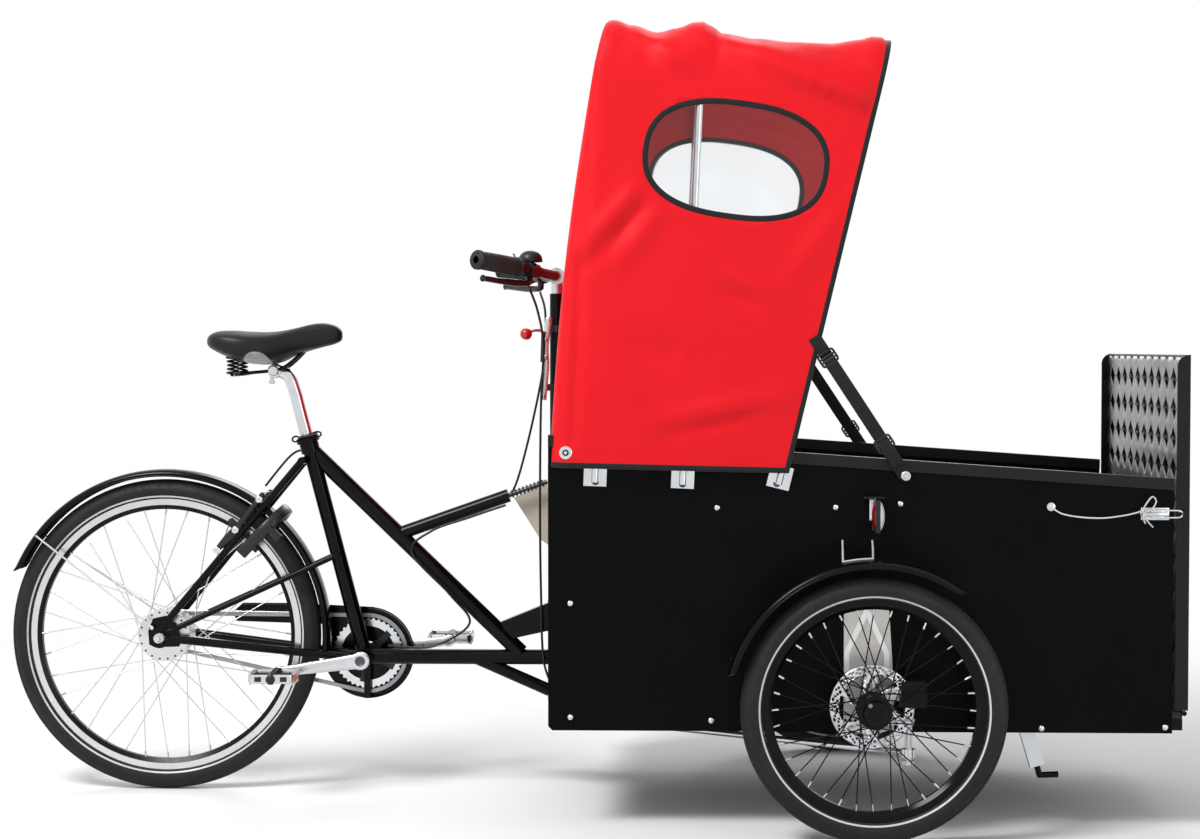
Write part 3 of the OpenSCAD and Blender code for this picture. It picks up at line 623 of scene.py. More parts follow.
@dataclass(frozen=True)
class Ringed:
    """Finish that changes in a ring about an axle, as inside a rim or round the axle's end.

    Attributes:
        name: The material's name.
        axle: x and z of the axle, in millimetres.
        main: Main colour.
        ring: Colour of the ring.
        zone: Inner and outer radius of the ring.
        metallic: How metallic the main part is.
    """

    name: str
    axle: Pair
    main: Colour
    ring: Colour
    zone: Pair
    metallic: float = 1.0

    def make(self) -> Material:
        """Returns the material."""
        g = Graph(self.name)
        away = g.flat_distance(self.axle)
        inside = g.ramp(away, (self.zone[0] - 0.1) * MM, (self.zone[0] + 0.1) * MM)
        outside = g.ramp(away, (self.zone[1] - 0.1) * MM, (self.zone[1] + 0.1) * MM, 1, 0)
        mark = g.math("MULTIPLY", inside, outside)
        main = g.mottle(30, self.main, dim(self.main, 0.9))
        g.paint(g.blend(mark, main, self.ring))
        g.wear(140, 0.2, 0.28)
        g.bump(g.noise(800, 2), 0.06, 0.02)
        g.link(g.ramp(mark, 0, 1, self.metallic, 0.0), g.shader.inputs["Metallic"])
        g.set(Specular_IOR_Level=0.14)
        return g.material


@dataclass(frozen=True)
class Forged:
    """Finish that changes beyond an edge along x and above or below a height, as a caliper on its arm.

    Attributes:
        name: The material's name.
        main: Colour of the main part.
        other: Colour of the other part.
        edge: x and z where the other part starts, in millimetres.
        below: Whether the other part lies below that height.
        metallic: How metallic the two parts are.
    """

    name: str
    main: Colour
    other: Colour
    edge: Pair
    below: bool = False
    metallic: Pair = (1.0, 0.2)

    def make(self) -> Material:
        """Returns the material."""
        g = Graph(self.name)
        ahead = g.ramp(g.along(Axis.X), AXLE_X + self.edge[0] * MM - 1e-4, AXLE_X + self.edge[0] * MM + 1e-4)
        ends = (1, 0) if self.below else (0, 1)
        height = g.ramp(g.along(Axis.Z), self.edge[1] * MM - 1e-4, self.edge[1] * MM + 1e-4, *ends)
        mark = g.math("MULTIPLY", ahead, height)
        main = g.mottle(30, self.main, dim(self.main, 0.88))
        g.paint(g.blend(mark, main, self.other))
        g.wear(140, 0.28, 0.38)
        g.bump(g.noise(700, 2), 0.1, 0.03)
        g.link(g.ramp(mark, 0, 1, *self.metallic), g.shader.inputs["Metallic"])
        g.set(Specular_IOR_Level=0.14)
        return g.material


@dataclass(frozen=True)
class Ribbed:
    """Plated sheet whose raised rib is painted brighter than its ground, as painted light and shade that outline the
    rib.

    Attributes:
        name: The material's name.
        ground: Colour of the sheet.
        rib_highlight: Colour of the rib, painted lighter than the ground as a painted highlight.
        edge: Distance from the middle plane where the rib starts, in millimetres.
    """

    name: str
    ground: Colour
    rib_highlight: Colour
    edge: float

    def make(self) -> Material:
        """Returns the material."""
        g = Graph(self.name)
        away = g.math("ABSOLUTE", g.along(Axis.Y))
        mark = g.ramp(away, (self.edge - 0.2) * MM, (self.edge + 2.4) * MM)
        stain = g.mottle(40, self.ground, dim(self.ground, 0.86))
        # Painted highlight: the rib is painted lighter than the sheet round it.
        g.paint(g.blend(mark, stain, self.rib_highlight))
        g.wear(140, 0.3, 0.42)
        g.bump(g.noise(700, 2), 0.1, 0.03)
        g.set(Metallic=0.85)
        return g.material


BLACK_ENAMEL = Enamel("black_enamel", srgb(5, 5, 6), srgb(9, 10, 11), 0.16, shine=0.14)
BOX_PANEL = Enamel("box_panel", srgb(4, 4, 5), srgb(6, 7, 8), 0.36, peel_mm=0.06, shine=0.06)
FLOOR_PANEL = Enamel("floor_panel", srgb(40, 40, 42), srgb(58, 58, 60), 0.6, 0.0, 0.4)
RAIL_ENAMEL = Enamel("rail_enamel", srgb(13, 15, 17), srgb(9, 10, 12), 0.36, 0.1, shine=0.2)
RAMP_ENAMEL = Enamel("ramp_enamel", srgb(8, 8, 8), srgb(14, 13, 13), 0.3, 0.1, 0.08, shine=0.2)
GUSSET_ENAMEL = Enamel("gusset_enamel", srgb(190, 182, 168), srgb(182, 174, 160), 0.4, 0.1)
CABLE_SLEEVE = Enamel("cable_sleeve", srgb(16, 16, 17), srgb(28, 28, 30), 0.42, 0.1)
BRIGHT_STEEL = Metal("bright_steel", srgb(216, 219, 222), srgb(204, 207, 211), 0.18)
ALLOY = Metal("alloy", srgb(212, 214, 216), srgb(198, 200, 203), 0.3)
REAR_WHEEL = Ringed("rear_wheel_metal", (0, 326), srgb(214, 216, 218), srgb(12, 13, 14), (262, 272.3))
KNUCKLE = Forged("knuckle_metal", srgb(206, 208, 211), srgb(16, 17, 18), (1492, 247))
DARK_STEEL = Metal("dark_steel", srgb(92, 94, 98), srgb(60, 62, 66), 0.38)
CHAIN_STEEL = Metal("chain_steel", srgb(168, 170, 172), srgb(128, 130, 132), 0.34)
MESH_STEEL = Metal("mesh_steel", srgb(164, 167, 169), srgb(134, 137, 140), 0.42)
TYRE_RUBBER = Rubber("tyre_rubber", srgb(17, 19, 20), srgb(27, 29, 31))
GRIP_RUBBER = Rubber("grip_rubber", srgb(24, 25, 26), srgb(38, 39, 41), 0.55, 0.25)
LEVER_PLASTIC = Enamel("lever_plastic", srgb(22, 22, 24), srgb(34, 34, 36), 0.36, 0.1)
RED_CANVAS = Canvas("red_canvas", srgb(222, 11, 26), srgb(188, 7, 16))
BLACK_BINDING = Canvas("black_binding", srgb(24, 24, 26), srgb(10, 10, 11), 0.8, 0.2, 0.6)
WEBBING = Canvas("webbing", srgb(26, 26, 28), srgb(8, 8, 9), 1.6, 0.2, 0.7)
SADDLE_HIDE = Hide("saddle_hide", srgb(22, 26, 28), srgb(11, 13, 15), srgb(206, 208, 211))
WINDOW_FILM = Film("window_film", (0.96, 0.97, 0.98))
WHITE_CORD = Rubber("white_cord", srgb(214, 216, 216), srgb(178, 181, 182), 0.4, 0.3)
REFLECTIVE = Enamel("reflective_line", srgb(205, 208, 208), srgb(176, 179, 180), 0.4, 0.2)
KNOB_RED = Enamel("knob_red", srgb(196, 20, 26), srgb(170, 12, 18), 0.22, 0.6)
REAR_STAYS = Ringed("rear_stays_enamel", (0, 326), srgb(5, 5, 6), srgb(196, 198, 201), (-1, 10.5), 0.0)
HANDLEBAR = Clamped("handlebar_metal", srgb(8, 8, 9), srgb(206, 208, 211), (822, 0, 1058), 42)
CARRIER = Ribbed("carrier_plate", srgb(206, 203, 199), srgb(238, 239, 240), 384.4)
ZINC_WIRE = Enamel("zinc_wire", srgb(205, 207, 209), srgb(184, 187, 190), 0.34)
UNDER_FRAME = Forged("under_frame_metal", srgb(5, 5, 6), srgb(208, 211, 214), (1735, 193.6), True, (0.0, 0.9))
CLEAR_LENS = Enamel("clear_lens", srgb(232, 235, 237), srgb(214, 218, 221), 0.12, 0.9)
RED_LENS = Enamel("red_lens", srgb(124, 10, 14), srgb(92, 6, 9), 0.14, 0.5)
AMBER = Enamel("amber_reflector", srgb(235, 120, 24), srgb(200, 70, 16), 0.15, 0.8)

NODE_FINISHES = {
    BLACK_ENAMEL: ("seat_tube", "top_tube", "upper_tube", "main_tube", "head_tube", "steering_column",
                   "chain_guard", "leg_foot_right", "leg_foot_left", "front_wheel_right",
                   "front_wheel_left"),
    BOX_PANEL: ("box_side_right", "box_side_left", "box_back"),
    FLOOR_PANEL: ("box_floor",),
    RAIL_ENAMEL: ("top_rails",),
    RAMP_ENAMEL: ("ramp_panel",),
    GUSSET_ENAMEL: ("column_bracket",),
    HANDLEBAR: ("handlebar",),
    REAR_STAYS: ("rear_stays",),
    UNDER_FRAME: ("under_frame",),
    BRIGHT_STEEL: ("hood_frame", "tie_rod_right", "tie_rod_left"),
    CARRIER: ("axle_carriers",),
    REAR_WHEEL: ("rear_wheel",),
    KNUCKLE: ("knuckle_right", "knuckle_left"),
    DARK_STEEL: ("spring_stay",),
    LEVER_PLASTIC: ("bar_controls",),
    WINDOW_FILM: ("hood_windows",),
}


def lay_flat(bm: Mesh) -> None:
    """Gives a mesh a map in metres, seen along the axis that each face looks along most."""
    flat = bm.loops.layers.uv.new("cut")
    for face in bm.faces:
        look = [abs(c) for c in face.normal]
        a, b = ((1, 2), (0, 2), (0, 1))[look.index(max(look))]
        for loop in face.loops:
            loop[flat].uv = (loop.vert.co[a], loop.vert.co[b])


class Shop:
    """Keeps one material for each finish and turns meshes into pieces."""

    def __init__(self) -> None:
        """Starts with no materials."""
        self.made: dict[object, Material] = {}

    def material(self, finish: object) -> Material:
        """Returns the one material of a finish."""
        if finish not in self.made:
            self.made[finish] = finish.make()
        return self.made[finish]

    def dress(self, node: str, finish: object) -> None:
        """Gives a frame node its finish.

        Args:
            node: The node's name.
            finish: Its finish.
        """
        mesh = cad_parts[node].data
        mesh.materials.clear()
        mesh.materials.append(self.material(finish))

    def piece(self, name: str, bm: Mesh, finish: object, body: str,
              replaces: Iterable[str] = (), crease: float = 32.0) -> Object:
        """Makes a piece from a mesh, with its finish, and sets it on its body.

        Args:
            name: The piece's name.
            bm: Its mesh, which is used up.
            finish: Its finish.
            body: The body that it rides on, or nothing for a piece that is set on no body.
            replaces: Nodes that it stands for.
            crease: Angle in degrees above which an edge stays sharp.

        Returns:
            The new object.
        """
        bmesh.ops.remove_doubles(bm, verts=bm.verts, dist=1e-6)
        bmesh.ops.recalc_face_normals(bm, faces=bm.faces)
        if not bm.loops.layers.uv:
            lay_flat(bm)
        mesh = bpy.data.meshes.new(name)
        bm.to_mesh(mesh)
        bm.free()
        mesh.shade_smooth()
        mesh.set_sharp_from_angle(angle=math.radians(crease))
        return self.settle(bpy.data.objects.new(name, mesh), finish, body, replaces)

    def settle(self, obj: Object, finish: object, body: str,
               replaces: Iterable[str] = ()) -> Object:
        """Links an object, gives it its finish and sets it on its body.

        Args:
            obj: The object.
            finish: Its finish.
            body: The body that it rides on, or nothing for a piece that is set on no body.
            replaces: Nodes that it stands for.

        Returns:
            The same object.
        """
        bpy.context.scene.collection.objects.link(obj)
        obj.data.materials.append(self.material(finish))
        if body:
            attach(obj, body)
        names = tuple(replaces)
        if names:
            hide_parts(*names)
        LOG.info("piece %s on %s", obj.name, body)
        return obj


SHOP = Shop()


def loft(rings: Sequence[Ring], around: bool = True, back_to_start: bool = False,
         capped: bool = True) -> Mesh:
    """Extrudes a ring of points through a row of others.

    Args:
        rings: Rings with the same number of points.
        around: Whether each ring closes on itself.
        back_to_start: Whether the last ring joins the first.
        capped: Whether the open ends are filled.

    Returns:
        The mesh.
    """
    bm = bmesh.new()
    first = [bm.verts.new(p) for p in rings[0]]
    pairs = zip(first, first[1:] + first[:1]) if around else zip(first, first[1:])
    edges = [bm.edges.new(pair) for pair in pairs]
    start = list(edges)
    last = first
    seen = set(first)
    for ring in rings[1:]:
        made = bmesh.ops.extrude_edge_only(bm, edges=edges)["geom"]
        fresh = {g for g in made if isinstance(g, bmesh.types.BMVert)}
        last = [next(e.other_vert(v) for e in v.link_edges if e.other_vert(v) in fresh) for v in last]
        edges = [g for g in made if isinstance(g, bmesh.types.BMEdge) and seen.isdisjoint(g.verts)]
        seen |= fresh
        for vert, point in zip(last, ring):
            vert.co = point
    if back_to_start:
        bmesh.ops.bridge_loops(bm, edges=start + edges)
    elif capped and around:
        for loop in (start, edges):
            bmesh.ops.contextual_create(bm, geom=loop)
    return bm


def join(parts: Iterable[Mesh]) -> Mesh:
    """Puts several meshes into one.

    Args:
        parts: The meshes, which are used up.

    Returns:
        The joined mesh.
    """
    whole = bmesh.new()
    for part in parts:
        mesh = bpy.data.meshes.new("part")
        part.to_mesh(mesh)
        part.free()
        whole.from_mesh(mesh)
        bpy.data.meshes.remove(mesh)
    return whole


def tube(points: Sequence[Vector], radius: float, sides: int = 10) -> Mesh:
    """Sweeps a round section along points.

    Args:
        points: The middle line, in metres.
        radius: Radius in metres.
        sides: Sides of the section.

    Returns:
        The mesh.
    """
    rings = []
    side = Vector((0.31, 0.84, 0.44))
    for i, point in enumerate(points):
        ahead = (points[min(i + 1, len(points) - 1)] - points[max(i - 1, 0)]).normalized()
        side = (side - ahead * side.dot(ahead)).normalized()
        up = ahead.cross(side)
        rings.append([point + radius * (math.cos(a) * side + math.sin(a) * up)
                      for a in turns(sides)])
    return loft(rings)


def band(points: Sequence[Vector], faces: Sequence[Vector], width: float, thick: float,
         closed: bool = False) -> Mesh:
    """Sweeps a flat band with rounded edges along points.

    Args:
        points: The middle line, in metres.
        faces: The way the band's flat face looks at each point.
        width: Width in metres.
        thick: Thickness in metres.
        closed: Whether it comes back to its start.

    Returns:
        The mesh.
    """
    n = len(points)
    shape = [(bulge(math.cos(a), 0.4), bulge(math.sin(a), 0.7)) for a in turns(12)]
    rings = []
    for i, point in enumerate(points):
        behind = points[(i - 1) % n] if closed else points[max(i - 1, 0)]
        ahead = points[(i + 1) % n] if closed else points[min(i + 1, n - 1)]
        run = (ahead - behind).normalized()
        across = run.cross(faces[i]).normalized()
        out = across.cross(run).normalized()
        rings.append([point + across * (a * width / 2) + out * (b * thick / 2) for a, b in shape])
    return loft(rings, back_to_start=closed)


def turned(profile: Profile, steps: int, middle: Vector) -> Mesh:
    """Spins a closed profile of radius and y, in millimetres, about a line along y.

    Args:
        profile: Points of the profile in order.
        steps: Steps of the full turn.
        middle: A point of the line, in metres.

    Returns:
        The mesh.
    """
    bm = bmesh.new()
    verts = [bm.verts.new(middle + Vector((r * MM, y * MM, 0))) for r, y in profile]
    edges = [bm.edges.new(pair) for pair in zip(verts, verts[1:] + verts[:1])]
    bmesh.ops.spin(bm, geom=verts + edges, cent=middle, axis=(0, 1, 0), angle=2 * math.pi, steps=steps,
                   use_merge=True)
    return bm


def lathe(profile: Profile, start: Vector, end: Vector, steps: int) -> Mesh:
    """Spins a profile of radius and distance from start, in millimetres, about the line to end.

    Args:
        profile: Points of the profile in order, which closes on the line itself.
        start: Start of the line, in millimetres.
        end: A further point of the line.
        steps: Steps of the full turn.

    Returns:
        The mesh.
    """
    bm = bmesh.new()
    run = (end - start).normalized()
    side = run.orthogonal().normalized()
    at = place(*start)
    verts = [bm.verts.new(at + run * (s * MM) + side * (r * MM)) for r, s in profile]
    edges = [bm.edges.new(pair) for pair in zip(verts, verts[1:])]
    if profile[0][0] > 0:
        edges.append(bm.edges.new((verts[-1], verts[0])))
    bmesh.ops.spin(bm, geom=verts + edges, cent=at, axis=run, angle=2 * math.pi, steps=steps, use_merge=True)
    return bm


def rod(radius: float, length: float) -> list[Pair]:
    """Returns the profile of a plain round rod, for the lathe."""
    return [(0.0, 0.0), (radius, 0.0), (radius, length), (0.0, length)]


def stud(profile: Profile, at: Sequence[float], side: Side, steps: int) -> Mesh:
    """Spins a profile about a line that runs straight out to one side.

    Args:
        profile: Radius and distance out of each point, in millimetres.
        at: x, distance from the middle plane and z of the line's foot.
        side: The side that it runs out to.
        steps: Steps of the full turn.

    Returns:
        The mesh.
    """
    foot = Vector((at[0], side.value * at[1], at[2]))
    return lathe(profile, foot, foot + Vector((0, side.value * 10, 0)), steps)


def blocks(rows: Iterable[tuple[Vector, Sequence[float]]], round_mm: float = 0.0, segments: int = 3,
           turn_deg: float = 0.0) -> Mesh:
    """Makes blocks with rounded edges.

    Args:
        rows: Middle of each block in metres and its three sizes in millimetres.
        round_mm: Radius of the edges, with 0 for sharp ones.
        segments: Steps across a rounded edge.
        turn_deg: Turn of each block about its own y.

    Returns:
        The mesh.
    """
    bm = bmesh.new()
    for at, size in rows:
        spot = Matrix.Translation(at) @ Matrix.Rotation(math.radians(turn_deg), 4, "Y")
        bmesh.ops.create_cube(bm, size=1, matrix=spot @ Matrix.Diagonal((*(v * MM for v in size), 1)))
    if round_mm:
        bmesh.ops.bevel(bm, geom=bm.edges[:], offset=round_mm * MM, offset_type="OFFSET", segments=segments,
                        profile=0.5, affect="EDGES", material=-1)
    return bm


def thicken(piece: Object, thick: float) -> Object:
    """Gives a flat piece its thickness.

    Args:
        piece: The piece.
        thick: Its thickness in millimetres, half to each side.

    Returns:
        The same piece.
    """
    wall = piece.modifiers.new("sheet", "SOLIDIFY")
    wall.thickness = thick * MM
    wall.offset = 0
    return piece


def middle_of(node: str) -> Vector:
    """Returns the middle of a node's box, in metres."""
    low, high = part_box(node)
    return (low + high) / 2


@dataclass
class Studio:
    """Floor, soft light and the camera at the photograph's angle.

    Attributes:
        eye: Place of the camera, in metres.
        tilt_deg: How far the camera looks down.
        pan_deg: How far it looks to the left.
        lens_mm: Focal length for a sensor 36 mm wide.
        floor_m: Half length of the floor.
    """

    eye: Point = (0.190, -4.7257, 0.9293)
    tilt_deg: float = 1.836
    pan_deg: float = 1.732
    lens_mm: float = 67.998
    floor_m: float = 30.0

    def set_camera(self) -> None:
        """Makes the camera."""
        data = bpy.data.cameras.new("camera")
        data.lens = self.lens_mm
        data.sensor_width = 36.0
        camera = bpy.data.objects.new("camera", data)
        camera.location = self.eye
        camera.rotation_euler = (math.radians(90 - self.tilt_deg), 0, math.radians(self.pan_deg))
        bpy.context.scene.collection.objects.link(camera)
        bpy.context.scene.camera = camera

    def set_world(self) -> None:
        """Makes a white surround that lights the object more softly than it shows."""
        world = bpy.data.worlds.new("surround")
        world.use_nodes = True
        nodes, links = world.node_tree.nodes, world.node_tree.links
        rays = nodes.new("ShaderNodeLightPath")
        seen = rays.outputs["Is Camera Ray"]
        for kind in ("Is Glossy Ray", "Is Transmission Ray"):
            either = nodes.new("ShaderNodeMath")
            either.operation = "MAXIMUM"
            links.new(seen, either.inputs[0])
            links.new(rays.outputs[kind], either.inputs[1])
            seen = either.outputs[0]
        level = nodes.new("ShaderNodeMapRange")
        level.inputs["To Min"].default_value = 0.46
        level.inputs["To Max"].default_value = 1.0
        links.new(seen, level.inputs["Value"])
        links.new(level.outputs["Result"], nodes["Background"].inputs["Strength"])
        nodes["Background"].inputs["Color"].default_value = (1, 1, 1, 1)
        bpy.context.scene.world = world

    def set_floor(self) -> None:
        """Makes the pale floor, which fades into the white surround far from the object."""
        bm = bmesh.new()
        bmesh.ops.create_grid(bm, x_segments=2, y_segments=2, size=self.floor_m)
        mesh = bpy.data.meshes.new("floor")
        bm.to_mesh(mesh)
        bm.free()
        floor = bpy.data.objects.new("floor", mesh)
        bpy.context.scene.collection.objects.link(floor)
        g = Graph("pale_floor")
        g.paint(g.blend(g.noise(3, 3), (0.90, 0.90, 0.90), (0.93, 0.93, 0.93)))
        g.set(Roughness=0.9, Specular_IOR_Level=0.1)
        white = g.add("Emission")
        white.inputs["Color"].default_value = (1, 1, 1, 1)
        far = g.math("SUBTRACT", 1.0, g.near(Vector((0, 0, 0)), 2.4, 0.9))
        fade = g.add("MixShader")
        g.link(far, fade.inputs[0])
        g.link(g.shader.outputs[0], fade.inputs[1])
        g.link(white.outputs[0], fade.inputs[2])
        g.link(fade.outputs[0], g.tree.nodes["Material Output"].inputs["Surface"])
        mesh.materials.append(g.material)

    def add_lamp(self, name: str, at: Vector, aim: Vector, size: float, watts: float) -> None:
        """Adds a square soft lamp.

        Args:
            name: The lamp's name.
            at: Its place, in metres.
            aim: The point that it looks at.
            size: Its side, in metres.
            watts: Its power.
        """
        data = bpy.data.lights.new(name, "AREA")
        data.energy = watts
        data.size = size
        lamp = bpy.data.objects.new(name, data)
        lamp.location = at
        lamp.rotation_euler = (aim - at).to_track_quat("-Z", "Y").to_euler()
        bpy.context.scene.collection.objects.link(lamp)

    def build(self) -> None:
        """Makes the whole studio."""
        self.set_camera()
        self.set_world()
        self.set_floor()
        aim = Vector((0.1, 0, 0.7))
        self.add_lamp("key", Vector((-2.4, -2.7, 4.5)), aim, 1.8, 235)
        self.add_lamp("fill", Vector((3.8, -3.2, 1.6)), aim, 2.5, 34)
        self.add_lamp("back", Vector((0.4, 4.5, 3.6)), aim, 3.0, 110)
        bpy.context.scene.view_settings.view_transform = "Standard"


@dataclass
class Lanyard:
    """White cord from the bolt on the side to the latch.

    Attributes:
        route: Points along the cord.
        radius: Radius of the cord.
    """

    route: Line = (
        (1785, -390, 624), (1800, -394, 613), (1825, -394, 607), (1855, -395, 604), (1885, -396, 604),
        (1915, -398, 608), (1938, -400, 613), (1953, -401, 619), (1963, -401, 634), (1973, -401, 645),
        (1980, -401, 636), (1972, -402.5, 622), (1958, -405, 615), (1962, -405, 600), (1974, -403, 587))
    radius: float = 1.5

    def knot_turn(self, t: float) -> Vector:
        """Returns a point of the turns that make the knot, at a share of their length."""
        a = 2 * math.pi * 2.6 * t
        return place(1955 + 3.4 * math.cos(a) + 4 * (t - 0.5), -403 + 3.6 * math.sin(a), 617 + 3.2 * math.sin(1.5 * a))

    def build(self) -> None:
        """Makes the cord in place of its node."""
        path = run_through(self.route, 5)
        data = bpy.data.curves.new("lanyard_cord", "CURVE")
        data.dimensions = "3D"
        data.bevel_depth = self.radius * MM
        data.bevel_resolution = 3
        data.use_fill_caps = True
        spline = data.splines.new("POLY")
        spline.points.add(len(path) - 1)
        for point, at in zip(spline.points, path):
            point.co = (*at, 1)
        cord = SHOP.settle(bpy.data.objects.new("lanyard_cord", data), WHITE_CORD, "frame", ("lanyard",))
        coils = [self.knot_turn(k / 40) for k in range(41)]
        tail = run_through(((1957, -404, 616), (1955, -405, 606), (1959, -404, 594)), 6)
        knot = SHOP.piece("lanyard_knot", join(tube(p, self.radius * MM, 8) for p in (coils, tail)), WHITE_CORD,
                          "frame")


@dataclass(frozen=True)
class Oval:
    """A rounded window opening in a flat cloth.

    Attributes:
        at: Middle of the opening on the cloth.
        half: Its two half widths.
        power: How square it is; 1 is an ellipse and less is squarer.
        tilt_deg: Turn of the opening.
    """

    at: Pair
    half: Pair
    power: float
    tilt_deg: float = 0.0

    def share(self, a: float, b: float) -> float:
        """Tells how far out a place lies.

        Args:
            a: First place on the cloth.
            b: Second place on the cloth.

        Returns:
            0 in the middle and 1 on the edge.
        """
        t = math.radians(self.tilt_deg)
        da, db = a - self.at[0], b - self.at[1]
        p = abs((da * math.cos(t) + db * math.sin(t)) / self.half[0]) ** (2 / self.power)
        q = abs((db * math.cos(t) - da * math.sin(t)) / self.half[1]) ** (2 / self.power)
        return (p + q) ** (self.power / 2)

    def onto(self, a: float, b: float, scale: float = 1.0) -> Pair:
        """Returns a place moved straight onto the edge, or onto the edge of a scaled opening."""
        k = scale / self.share(a, b)
        return self.at[0] + (a - self.at[0]) * k, self.at[1] + (b - self.at[1]) * k

    def outline(self, count: int, grow: float = 0.0) -> list[Pair]:
        """Returns places round the edge, evenly spaced by angle and moved out by grow."""
        scale = 1 + grow / min(self.half)
        return [self.onto(self.at[0] + math.cos(t) * self.half[0], self.at[1] + math.sin(t) * self.half[1], scale)
                for t in turns(count)]


@dataclass(frozen=True)
class Fold:
    """A soft fold in a side of the hood.

    Attributes:
        start: x and z where it starts.
        end: x and z where it ends.
        depth: How far it stands out, or in where negative.
        width: Its half width.
        under: Its half width on its lower side, if that is steeper.
    """

    start: Pair
    end: Pair
    depth: float
    width: float
    under: float = 0

    def lift(self, x: float, z: float) -> float:
        """Returns how far the fold lifts the cloth at a place."""
        dx, dz = self.end[0] - self.start[0], self.end[1] - self.start[1]
        run = dx * dx + dz * dz
        t = min(1.0, max(0.0, ((x - self.start[0]) * dx + (z - self.start[1]) * dz) / run))
        away = math.hypot(x - self.start[0] - t * dx, z - self.start[1] - t * dz)
        low = ((z - self.start[1]) * dx - (x - self.start[0]) * dz) * dx < 0
        wide = self.under if low and self.under else self.width
        return self.depth * math.exp(-(away / wide) ** 2) * (0.25 + 0.75 * math.sin(math.pi * (0.1 + 0.8 * t)))


